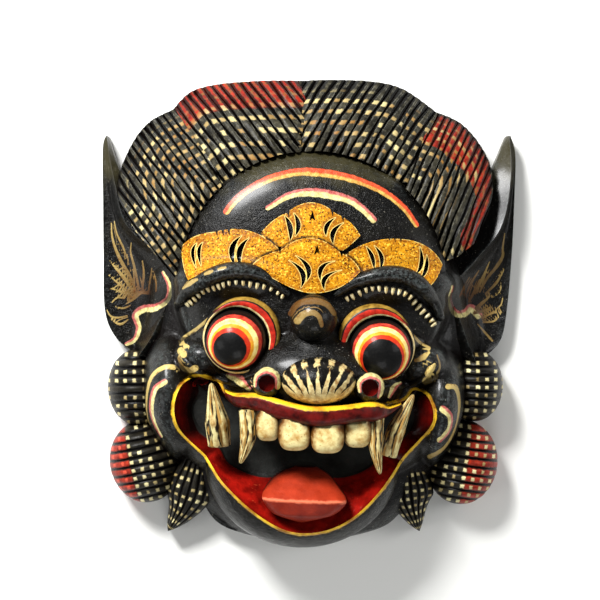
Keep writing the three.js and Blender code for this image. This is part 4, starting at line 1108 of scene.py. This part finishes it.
def dashes(along_flute, flute, length, width, missing, groove=0.0):
    """Short dabs of a brush along each flute: 1 on a dab. Also how likely each is, and 1 on a ridge, which
    a wider groove makes narrower."""
    number = add("Math", flute, operation="FLOOR")
    jitter = add("TexWhiteNoise", None, number, noise_dimensions="1D")
    shifted = add("Math", along_flute, add("Math", jitter, 0.45, operation="MULTIPLY"), operation="ADD")
    cell = add("Math", shifted, operation="FLOOR")
    chance = add("TexWhiteNoise", add("CombineXYZ", number, cell, 0))
    phase = add("Math", shifted, operation="FRACT")
    rough = add("Math", mottle(0.8, 0.2, 0.8), 0.16, operation="MULTIPLY")
    phase = add("Math", phase, rough, operation="ADD")
    stop = add("Math", add("Math", chance, 0.16, operation="MULTIPLY"), 0.12 + length, operation="ADD")
    start = above(phase, 0.16, 0.05)
    stop = above(add("Math", phase, stop, operation="SUBTRACT"), 0, 0.05)
    dab = add("Math", start, stop, operation="SUBTRACT")
    across = add("Math", add("Math", flute, operation="FRACT"), 0.5, operation="SUBTRACT")
    across = add("Math", across, operation="ABSOLUTE")
    across = add("Math", across, rough, operation="ADD")
    on_ridge = add("MapRange", add("Math", across, groove, operation="ADD"), 0.34, 0.46, 1, 0)
    dab = add("Math", dab, add("MapRange", across, width, width + 0.07, 1, 0), operation="MULTIPLY")
    return add("Math", dab, above(chance, missing, 0.01), operation="MULTIPLY"), chance, on_ridge


def between(value, low, high, soft=0.1):
    return add("Math", above(value, low, soft), above(value, high, soft), operation="SUBTRACT")


def make_hair():
    """Combed hair: black flutes with grey-brown ridges that carry patches of painted sheen and a painted
    highlight along their arrises, dabs of cream in rows, and red at two edges."""
    material = begin("hand painted hair flutes")
    flute, rows, _ = add("SeparateXYZ", add("UVMap", uv_map="Paint")).node.outputs
    inward = add("MapRange", rows, 3.4, 0.8, 0, 0.16)
    dab, chance, ridge = dashes(rows, flute, 0.3, 0.28, 0.1, inward)
    ground = add("Mix", mottle(7, 0.35, 0.65, 4), "#14120c", "#312e22", data_type="RGBA")
    # painted sheen: small pale patches over the ridge paint
    ground = add("Mix", mottle(1.2, 0.5, 0.78, 3), ground, "#545040", data_type="RGBA")
    ground = add("Mix", ridge, "#030201", ground, data_type="RGBA")
    # painted highlight: a pale line along the ridges' arrises, away from the outer edge
    ridge_highlight = add("Math", between(ridge, 0.55, 0.95, 0.06), mottle(2, 0.4, 0.62, 4), operation="MULTIPLY")
    ridge_highlight = add("Math", ridge_highlight, above(rows, 0.35, 0.2), operation="MULTIPLY")
    ground = add("Mix", add("Math", ridge_highlight, 0.55, operation="MULTIPLY"), ground, "#8d8c80", data_type="RGBA")
    cream = add("Mix", chance, "#7a5c2c", "#d2c48c", data_type="RGBA")
    cream = add("Mix", mottle(12, 0.4, 0.66, 2), cream, "#8c6430", data_type="RGBA")
    inner = add("MapRange", rows, 0.9, 1.6, 0, 1)
    shown = add("Math", dab, inner, operation="MULTIPLY")
    # red on the outer edge of the second lobe, and among the dabs of the last
    second = between(flute, FLUTES_APART, 2 * FLUTES_APART)
    edge = add("Math", rows, add("Math", mottle(3, 0.2, 0.8), 0.25, operation="MULTIPLY"), operation="ADD")
    band = add("Math", second, between(edge, 0.02, 2.3), operation="MULTIPLY")
    last = between(flute, 3 * FLUTES_APART, 4 * FLUTES_APART)
    height = add("SeparateXYZ", add("TexCoord", out="Object"), out="Y")
    upper = add("MapRange", height, 66 * MM, 90 * MM, 1.9, 4.2)
    far = add("Math", edge, upper, operation="LESS_THAN")
    patch = add("Math", far, above(edge, 0.5, 0.2), operation="MULTIPLY")
    patch = add("Math", last, patch, operation="MULTIPLY")
    red = add("Math", band, patch, operation="MAXIMUM")
    paint_red = streaked("#5a1009", "#a62a18", 2.4)
    brown = add("Mix", mottle(1.6, 0.52, 0.68, 3), paint_red, "#7a4a22", data_type="RGBA")
    on_red = add("Math", red, add("MapRange", ridge, 0, 1, 0.12, 1), operation="MULTIPLY")
    colour = add("Mix", on_red, ground, brown, data_type="RGBA")
    covered = add("Math", 1, add("Math", band, 0.4, operation="MULTIPLY"), operation="SUBTRACT")
    shown = add("Math", shown, covered, operation="MULTIPLY")
    colour = add("Mix", shown, colour, cream, data_type="RGBA")
    finish(colour, add("MapRange", mottle(3, 0.2, 0.8, 4), 0, 1, 0.32, 0.5), relief(), 0.15)
    return material


def make_curls():
    """Curls and locks: black ridges with cream dabs, red on the outer side of the lower curls."""
    material = begin("hand painted curl ridges")
    length, ridge_number, _ = add("SeparateXYZ", add("UVMap", uv_map="Paint")).node.outputs
    rows = add("Math", length, 1 / 5.4, operation="MULTIPLY")  # a dab every 5.4 mm
    dab, chance, ridge = dashes(rows, ridge_number, 0.3, 0.26, 0.08)
    ground = add("Mix", mottle(5, 0.35, 0.65, 4), "#0c0a07", "#2b271e", data_type="RGBA")
    ground = add("Mix", ridge, "#020101", ground, data_type="RGBA")
    left = add("Math", between(ridge_number, RIDGES_APART, 2 * RIDGES_APART),
               above(add("Math", -7, length, operation="SUBTRACT"), 0, 0.8), operation="MULTIPLY")
    right = add("Math", between(ridge_number, 3 * RIDGES_APART, 4 * RIDGES_APART),
                above(length, 1, 0.8), operation="MULTIPLY")
    red = add("Math", left, right, operation="MAXIMUM")
    red_ridge = add("Math", red, ridge, operation="MULTIPLY")
    colour = add("Mix", red_ridge, ground, streaked("#5c130a", "#a8301a", 2), data_type="RGBA")
    cream = add("Mix", chance, "#8d7540", "#e4d9a4", data_type="RGBA")
    rosy = add("Mix", left, cream, "#c44a34", data_type="RGBA")
    colour = add("Mix", dab, colour, rosy, data_type="RGBA")
    finish(colour, add("MapRange", mottle(3, 0.2, 0.8, 4), 0, 1, 0.3, 0.5), relief(), 0.15)
    return material


def make_gold():
    """Gold-ochre paint with brown glaze and fine dark specks, painted highlights on its edges, painted shade
    and shadow.
    """
    material = begin("rubbed gold ochre paint")
    place = add("Attribute", out="Vector", attribute_name="leaf")
    edge, shade, _ = add("SeparateXYZ", place).node.outputs
    base = add("Mix", mottle(6, 0.35, 0.65, 4), "#a86a05", "#d9950f", data_type="RGBA")
    base = add("Mix", mottle(1.2, 0.53, 0.72, 4), base, "#8a4c04", data_type="RGBA")
    base = add("Mix", mottle(0.64, 0.54, 0.66, 2), base, "#f7c440", data_type="RGBA")
    base = add("Mix", mottle(0.5, 0.56, 0.63, 2), base, "#4a2404", data_type="RGBA")
    # brown glaze and painted shade: darker within about two millimetres of the cuts and the outline
    glaze_and_shade = add("MapRange", add("Math", edge, mottle(2, 0.2, 1.2), operation="SUBTRACT"), 0.3, 2.2, 0.6, 0)
    base = add("Mix", glaze_and_shade, base, "#7c3d06", data_type="RGBA")
    # painted highlight: a thin pale line along the cut edges and the outline
    light = add("MapRange", edge, 0.2, 0.5, 0.75, 0)
    base = add("Mix", light, base, "#fbe282", data_type="RGBA")
    # painted shadow: dark on a leaf beside the edge of a leaf that lies over it
    under = add("MapRange", shade, 0.6, 1.9, 0.95, 0)
    base = add("Mix", under, base, "#1c0e03", data_type="RGBA")
    # painted shade: darker where the surface turns steeply away from facing up
    up = add("SeparateXYZ", add("NewGeometry", out="Normal"), out="Z")
    base = add("Mix", add("MapRange", up, 0.3, 0.55, 1, 0), base, "#140b03", data_type="RGBA")
    finish(base, add("MapRange", mottle(3, 0.2, 0.8, 4), 0, 1, 0.34, 0.5), relief(), 0.2, hollow_shade=0.4)
    return material


def ringed(rings, first):
    """Painted rings: each starts at its edge, and runs to the next."""
    place = add("SeparateXYZ", add("UVMap", uv_map="Paint"), out="X")
    rough = add("Math", mottle(1.8, 0.2, 0.8), 0.06, operation="MULTIPLY")
    place = add("Math", place, rough, operation="ADD")
    colour = first
    for edge, dark, bright in rings:
        colour = add("Mix", above(place, edge, 0.012), colour, streaked(dark, bright, 1.6), data_type="RGBA")
    return colour


def make_eyes():
    """Glossy enamel eyes: a black pupil in rings of red, yellow and rose."""
    material = begin("glossy enamel eye")
    black = add("Mix", mottle(0.6, 0.5, 0.7, 2), "#020202", "#0c0b0a", data_type="RGBA")
    rings = [(0.03, "#a81f0c", "#dc3d18"), (0.24, "#cf7a16", "#f0b02c"), (0.40, "#edc452", "#fff2a6"),
             (0.64, "#961d12", "#d9503c"), (0.82, "#050404", "#120c09")]
    finish(ringed(rings, black), mottle(4, -0.6, 1.4, 3), relief(), 0.12, 0.12, hollow_shade=0.7)
    return material


def make_eyelids():
    """The lid: a cream line beside the eyeball, then red, a black line and an ochre edge. Where the lid is
    narrow only the cream line is painted."""
    material = begin("painted eyelid")
    width = add("SeparateXYZ", add("UVMap", uv_map="Paint"), out="Y")
    rings = [(0.2, "#b89a54", "#f2e6b0"), (0.31, "#7d140b", "#cf2f1a"), (0.66, "#0a0604", "#1c100a"),
             (0.76, "#6d5018", "#b8923e")]
    wide = ringed(rings, streaked("#050303", "#120c08"))
    cream_line = [(0.12, "#b08a48", "#ecdca0"), (0.42, "#080605", "#161009")]
    narrow = ringed(cream_line, streaked("#050303", "#120c08"))
    colour = add("Mix", add("MapRange", width, 2.4, 4.4, 0, 1), narrow, wide, data_type="RGBA")
    finish(colour, mottle(4, -0.6, 1.5, 3), relief(), 0.12, 0.1)
    return material


def make_bristles_finish():
    """Brow bristles: black at the root, cream at the tip."""
    material = begin("cream tipped bristle")
    share = add("SeparateXYZ", add("UVMap", uv_map="Paint"), out="Y")
    share = add("Math", share, add("Math", mottle(1, 0.2, 0.8), 0.2, operation="MULTIPLY"), operation="ADD")
    colour = add("Mix", above(share, 0.38, 0.08), "#100e0b", streaked("#c3a660", "#f3ecc6"), data_type="RGBA")
    finish(colour, mottle(2, -1, 2, 3), relief(), 0.08)
    return material


def make_nose_finish():
    """The tip of the nose: a cream foot that rises into long petals on black, with cream nicks over it."""
    material = begin("petal painted nose")
    x, y, _ = add("SeparateXYZ", add("UVMap", uv_map="Paint")).node.outputs
    from_foot = add("Math", y, 1.5, operation="ADD")
    rough = add("Math", mottle(2.4, 0.2, 0.8), 0.34, operation="MULTIPLY")
    fan = add("Math", add("Math", x, from_foot, operation="ARCTAN2"), 6.4, operation="MULTIPLY")
    fan = add("Math", add("Math", fan, rough, operation="ADD"), 0.4, operation="ADD")
    wave = add("Math", add("Math", fan, operation="FRACT"), 0.5, operation="SUBTRACT")
    wave = add("Math", wave, operation="ABSOLUTE")
    chance = add("TexWhiteNoise", None, add("Math", fan, operation="FLOOR"), noise_dimensions="1D")
    width = add("MapRange", add("Math", y, add("Math", rough, 0.5, operation="MULTIPLY"), operation="ADD"),
                -0.5, add("MapRange", chance, 0, 1, 0.15, 0.85), 0.5, 0.02)
    petal = above(add("Math", width, wave, operation="SUBTRACT"), 0.0, 0.03)
    radius = add("VectorMath", add("CombineXYZ", x, y, 0), operation="LENGTH", out="Value")
    nick = above(add("Math", 0.22, wave, operation="SUBTRACT"), 0, 0.04)
    nick = add("Math", nick, between(add("Math", radius, rough, operation="ADD"), 0.86, 1.12, 0.03),
               operation="MULTIPLY")
    nick = add("Math", nick, above(y, 0.16, 0.06), operation="MULTIPLY")
    bone = add("Mix", mottle(1.6, 0.35, 0.7, 4), "#e0cf94", "#8e6630", data_type="RGBA")
    finish(add("Mix", add("Math", petal, nick, operation="MAXIMUM"), black_paint(), bone, data_type="RGBA"),
           add("MapRange", mottle(3, 0.2, 0.8, 4), 0, 1, 0.26, 0.42), relief(), 0.2)
    return material


def make_lip():
    """The upper lip: a yellow line along its top edge over dark red."""
    material = begin("dark red lip enamel")
    share = add("SeparateXYZ", add("UVMap", uv_map="Paint"), out="Y")
    rough = add("Math", mottle(1.6, 0.2, 0.8), 0.1, operation="MULTIPLY")
    ragged = add("Math", share, rough, operation="ADD")
    red = add("Mix", mottle(3, 0.35, 0.65, 4), "#2a0402", "#620f0b", data_type="RGBA")
    yellow = add("Mix", mottle(5, 0.45, 0.7, 4), "#efbf24", "#a06414", data_type="RGBA")
    colour = add("Mix", above(ragged, 0.85, 0.03), red, yellow, data_type="RGBA")
    finish(colour, add("MapRange", mottle(3, 0.2, 0.8, 4), 0, 1, 0.28, 0.46), relief(), 0.15)
    return material


def make_gums():
    """The walls of the mouth: red enamel, with painted shade darkening it into the deep upper corners, and
    black at the back.
    """
    material = begin("red mouth enamel")
    _, y, z = add("SeparateXYZ", add("TexCoord", out="Object")).node.outputs
    red = add("Mix", mottle(3.4, 0.3, 0.7, 5), "#6d0b06", "#b81a10", data_type="RGBA")
    red = add("Mix", mottle(1.4, 0.64, 0.8, 4), red, "#d8502f", data_type="RGBA")
    # painted shade: the red goes towards near black where the wall lies high in the mouth and deep
    up = add("MapRange", y, -94 * MM, -66 * MM, 0, 1)
    deep = add("MapRange", z, 44 * MM, 60 * MM, 1, 0)
    shade = add("Math", up, add("MapRange", deep, 0, 1, 0.3, 1), operation="MULTIPLY")
    colour = add("Mix", shade, red, "#120302", data_type="RGBA")
    back = above(add("Math", 41.5 * MM, z, operation="SUBTRACT"), 0, 0.3 * MM)
    colour = add("Mix", back, colour, streaked("#131412", "#2a2c29", 5), data_type="RGBA")
    finish(colour, add("MapRange", back, 0, 1, 0.26, 0.5), relief(), 0.2, hollow_shade=0.5)
    return material


def make_teeth():
    """Bone-coloured teeth: ivory faces, brown at their sides and roots, partly glaze and partly painted
    shade.
    """
    material = begin("ivory paint with brown glaze")
    x, y, _ = add("SeparateXYZ", add("UVMap", uv_map="Paint")).node.outputs
    side = add("Math", x, operation="ABSOLUTE")
    edge = add("Math", side, add("MapRange", y, -0.2, 0.6, 0, 0.45), operation="ADD")
    edge = add("Math", edge, add("Math", mottle(2, 0.2, 0.8), 0.45, operation="MULTIPLY"), operation="ADD")
    face = add("Mix", mottle(2.2, 0.42, 0.72, 4), "#dfd093", "#ad823c", data_type="RGBA")
    face = add("Mix", mottle(0.6, 0.62, 0.74, 3), face, "#8a5f26", data_type="RGBA")
    # brown at the sides and roots: partly glaze, partly painted shade between the teeth and under the lip
    colour = add("Mix", add("MapRange", edge, 0.85, 1.25, 0, 1), face, "#7a4c18", data_type="RGBA")
    # painted shade: near black at the very edges, between the teeth and under the lip
    colour = add("Mix", add("MapRange", edge, 1.15, 1.5, 0, 1), colour, "#1c0f05", data_type="RGBA")
    finish(colour, mottle(3, -0.8, 1.8, 3), relief(), 0.14, 0.1)
    return material


def make_tusks():
    """Tusks and fangs: ivory and ochre, with dark brown left in a few long uneven grooves."""
    material = begin("grooved ivory paint")
    spin, share, _ = add("SeparateXYZ", add("UVMap", uv_map="Paint")).node.outputs
    sweep = add("CombineXYZ", add("Math", spin, 2.6, operation="MULTIPLY"),
                add("Math", share, 0.9, operation="MULTIPLY"), 0)
    streaks = add("MapRange", add("TexNoise", sweep, 2.2, 2, 0.5), 0.36, 0.64, 0, 1)
    ivory = add("Mix", mottle(2.4, 0.4, 0.7, 4), "#d8cc90", "#987440", data_type="RGBA")
    ivory = add("Mix", add("MapRange", streaks, 0.5, 0.72, 0, 1), ivory, "#a07a3c", data_type="RGBA")
    turned = add("Math", spin, 3 * math.pi, operation="MULTIPLY")
    turned = add("Math", turned, add("Math", streaks, 2.4, operation="MULTIPLY"), operation="ADD")
    groove = add("Math", add("Math", turned, operation="COSINE"), operation="ABSOLUTE")
    rough = add("Math", mottle(1.4, 0.2, 0.8), 0.22, operation="MULTIPLY")
    groove = add("Math", groove, rough, operation="ADD")
    colour = add("Mix", add("MapRange", groove, 0.9, 1.08, 0, 1), ivory, "#1a0e06", data_type="RGBA")
    finish(colour, mottle(3, -0.8, 1.8, 3), relief(), 0.15)
    return material


def make_tongue_finish():
    """The tongue: coral, with painted light behind its crease, a painted highlight along it and painted shade
    before it.
    """
    material = begin("coral enamel")
    share = add("SeparateXYZ", add("UVMap", uv_map="Paint"), out="Y")
    share = add("Math", share, add("Math", mottle(2, 0.2, 0.8), 0.04, operation="MULTIPLY"), operation="ADD")
    # painted light: the coral grows lighter up the slope towards the crease
    back = add("Mix", add("MapRange", share, 0.1, 0.55, 0, 1), streaked("#7c2210", "#962c16", 4),
               streaked("#992b12", "#b4391e", 4), data_type="RGBA")
    # painted shade: a darker coral on the slope before the crease
    front = streaked("#72190b", "#942a14", 4)
    colour = add("Mix", above(share, 0.63, 0.02), back, front, data_type="RGBA")
    # painted highlight: a pale line along the crease
    crease = between(share, 0.585, 0.63, 0.015)
    colour = add("Mix", add("Math", crease, 0.6, operation="MULTIPLY"), colour, "#f58c66", data_type="RGBA")
    finish(colour, mottle(3, -0.8, 1.8, 3), relief(), 0.16)
    return material


def make_wood():
    """The hollow back: bare softwood stained brown, with gouge marks 8 mm wide."""
    material = begin("stained bare softwood")
    grain = mottle(2.2, 0.3, 0.7, 5, (6, 0.5, 1))
    colour = add("Mix", grain, "#4a3220", "#7d5c3c", data_type="RGBA")
    colour = add("Mix", mottle(14, 0.4, 0.7, 3), colour, "#2c1e14", data_type="RGBA")
    finish(colour, add("MapRange", grain, 0, 1, 0.6, 0.8), mottle(4, 0.2, 0.8, 1), 0.5)
    return material


finish_of = {
    "skin": make_skin(), "hair": make_hair(), "curls": make_curls(), "gold": make_gold(),
    "eyes": make_eyes(), "eyelids": make_eyelids(), "bristles": make_bristles_finish(),
    "nose": make_nose_finish(), "lip": make_lip(), "gums": make_gums(), "teeth": make_teeth(),
    "tusks": make_tusks(), "tongue": make_tongue_finish(), "wood": make_wood(),
}


# ------------------------------------------------------------------ the mask

mask = make_face()
mask.name = "carved_mask"
carve(
    mask,
    ("UNION", [make_jaw()]),
    ("UNION", [make_lobe(i, *lobe) for i, lobe in enumerate(LOBES)]),
    ("UNION", [make_ear(*ear) for ear in EARS]),
    ("UNION", [make_curl(i, *curl) for i, curl in enumerate(CURLS)]),
    ("UNION", [make_lock(i, lock) for i, lock in enumerate(LOCKS)]),
    ("UNION", [make_brow(brow) for brow in BROWS]),
    ("UNION", [make_mouth_bead()]),
    ("DIFFERENCE", [make_mouth()]),
    ("UNION", [make_leaf(*leaf) for leaf in LEAVES]),
    ("UNION", [make_fold(*fold) for fold in FOLDS]),
    ("UNION", [form for eye in EYES for form in make_eye(*eye)]),
    ("UNION", [form for row in BRISTLES for form in make_bristles(*row)]),
    ("UNION", make_nose()),
    ("UNION", [make_upper_lip(), make_tongue()]),
    ("UNION", [make_tooth(*tooth) for tooth in TEETH]),
    ("UNION", [make_horn(*horn) for horn in HORNS]),
    ("DIFFERENCE", [make_hollow(*hollow) for hollow in HOLLOWS]),
    ("DIFFERENCE", [make_saw()]),
)


def set_attribute(mesh, name, kind, values):
    layer = mesh.attributes.new(name, kind, "POINT")
    layer.data.foreach_set("color" if kind == "FLOAT_COLOR" else "value", np.ravel(values))


spots = np.empty(len(mask.data.vertices) * 3)
mask.data.vertices.foreach_get("co", spots)
spots = spots.reshape(-1, 3) / MM
spot_x, spot_y = spots[:, 0], spots[:, 1]
for strokes_name, strokes in (("fire", FIRE_STROKES), ("petal", PETAL_STROKES), ("gilt", GILT_STROKES)):
    set_attribute(mask.data, strokes_name, "FLOAT_COLOR", brushed(spot_x, spot_y, strokes))

# How far each place stands out from the surface smoothed around it, in millimetres: the finishes paint shade
# where it is low, and a sheen on the black paint where it is high.
pairs = np.empty(len(mask.data.edges) * 2, np.int32)
mask.data.edges.foreach_get("vertices", pairs)
pairs = pairs.reshape(-1, 2)
smooth, share = spots.copy(), np.bincount(pairs.ravel(), minlength=len(spots))[:, None]
for _ in range(SMOOTHINGS):
    total = np.zeros_like(smooth)
    for one, other in ((0, 1), (1, 0)):
        for axis in range(3):
            total[:, axis] += np.bincount(pairs[:, one], smooth[pairs[:, other], axis], len(spots))
    smooth = (smooth + total) / (1 + share)
normals = np.empty(len(spots) * 3)
mask.data.vertex_normals.foreach_get("vector", normals)
set_attribute(mask.data, "swell", "FLOAT", ((spots - smooth) * normals.reshape(-1, 3)).sum(1))

gap, side = gap_to(along(MOUTH_EDGE, np.linspace(0, 1, 500), closed=True), spot_x, spot_y)
set_attribute(mask.data, "mouth", "FLOAT", gap * side)

# The leaves: how far each place is from the edges of its own leaf, and from a leaf that lies over it, for the
# painted shadow of that leaf.
edge_gap, over_gap = np.full(len(spots), UNTOUCHED), np.full(len(spots), UNTOUCHED)
for _, start, arcs, cuts, _ in LEAVES:
    outline = leaf_outline(start, arcs)
    distance, side = gap_to(fine(outline), spot_x, spot_y)
    inside = side * turning(outline) > 0
    edge_gap = np.where(inside, distance, edge_gap)
    over_gap = np.where(inside, UNTOUCHED, np.minimum(over_gap, distance))
    for cut in cuts:
        distance = gap_to(fine(crescent(*cut)), spot_x, spot_y)[0]
        edge_gap = np.where(inside, np.minimum(edge_gap, distance), edge_gap)
set_attribute(mask.data, "leaf", "FLOAT_COLOR", np.column_stack([edge_gap, over_gap, edge_gap, edge_gap]))

mask.data.shade_smooth()
mask.data.set_sharp_from_angle(angle=SPLIT)

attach(mask, "root")
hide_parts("mask")

# ------------------------------------------------------------------ the floor, light and camera

CAMERA_PLACE, CAMERA_LENS = (-5.3, 8, 1100), 111.5
FLOOR_HALF, FLOOR_GAP = 3, 0.0002  # in metres: half its width, and how far it lies under the rim

bm = bmesh.new()
bmesh.ops.create_grid(bm, x_segments=1, y_segments=1, size=FLOOR_HALF)
floor_mesh = bpy.data.meshes.new("floor")
bm.to_mesh(floor_mesh)
bm.free()
board = begin("matt white board")
board.node_tree.nodes["Principled BSDF"].inputs["Base Color"].default_value = linear("#f4f4f0")
board.node_tree.nodes["Principled BSDF"].inputs["Roughness"].default_value = 0.9
floor_mesh.materials.append(board)
floor = bpy.data.objects.new("floor", floor_mesh)
floor.location.z = low.z - FLOOR_GAP
bpy.context.scene.collection.objects.link(floor)


def light(name, place, size, power):
    lamp = bpy.data.lights.new(name, "AREA")
    lamp.energy, lamp.size = power, size
    stand = bpy.data.objects.new(name, lamp)
    stand.location = place
    stand.rotation_euler = (Vector((0, 0, 0.03)) - Vector(place)).to_track_quat("-Z", "Y").to_euler()
    bpy.context.scene.collection.objects.link(stand)


light("window", (-0.5, 0.8, 0.9), 0.35, 33)
light("right wall", (1.0, 0.15, 0.7), 0.5, 4)
light("left wall", (-1.0, -0.3, 0.6), 0.5, 3)
light("room", (0.1, -1.1, 0.8), 0.6, 4.5)
world = bpy.data.worlds.new("soft room")
bpy.context.scene.world = world
world.use_nodes = True
world.node_tree.nodes["Background"].inputs["Color"].default_value = linear("#f2f5f7")
world.node_tree.nodes["Background"].inputs["Strength"].default_value = 0.16

camera = bpy.data.cameras.new("camera")
camera.lens = CAMERA_LENS
camera_stand = bpy.data.objects.new("camera", camera)
camera_stand.location = [c * MM for c in CAMERA_PLACE]
bpy.context.scene.collection.objects.link(camera_stand)
bpy.context.scene.camera = camera_stand
bpy.context.scene.view_settings.view_transform = "Standard"
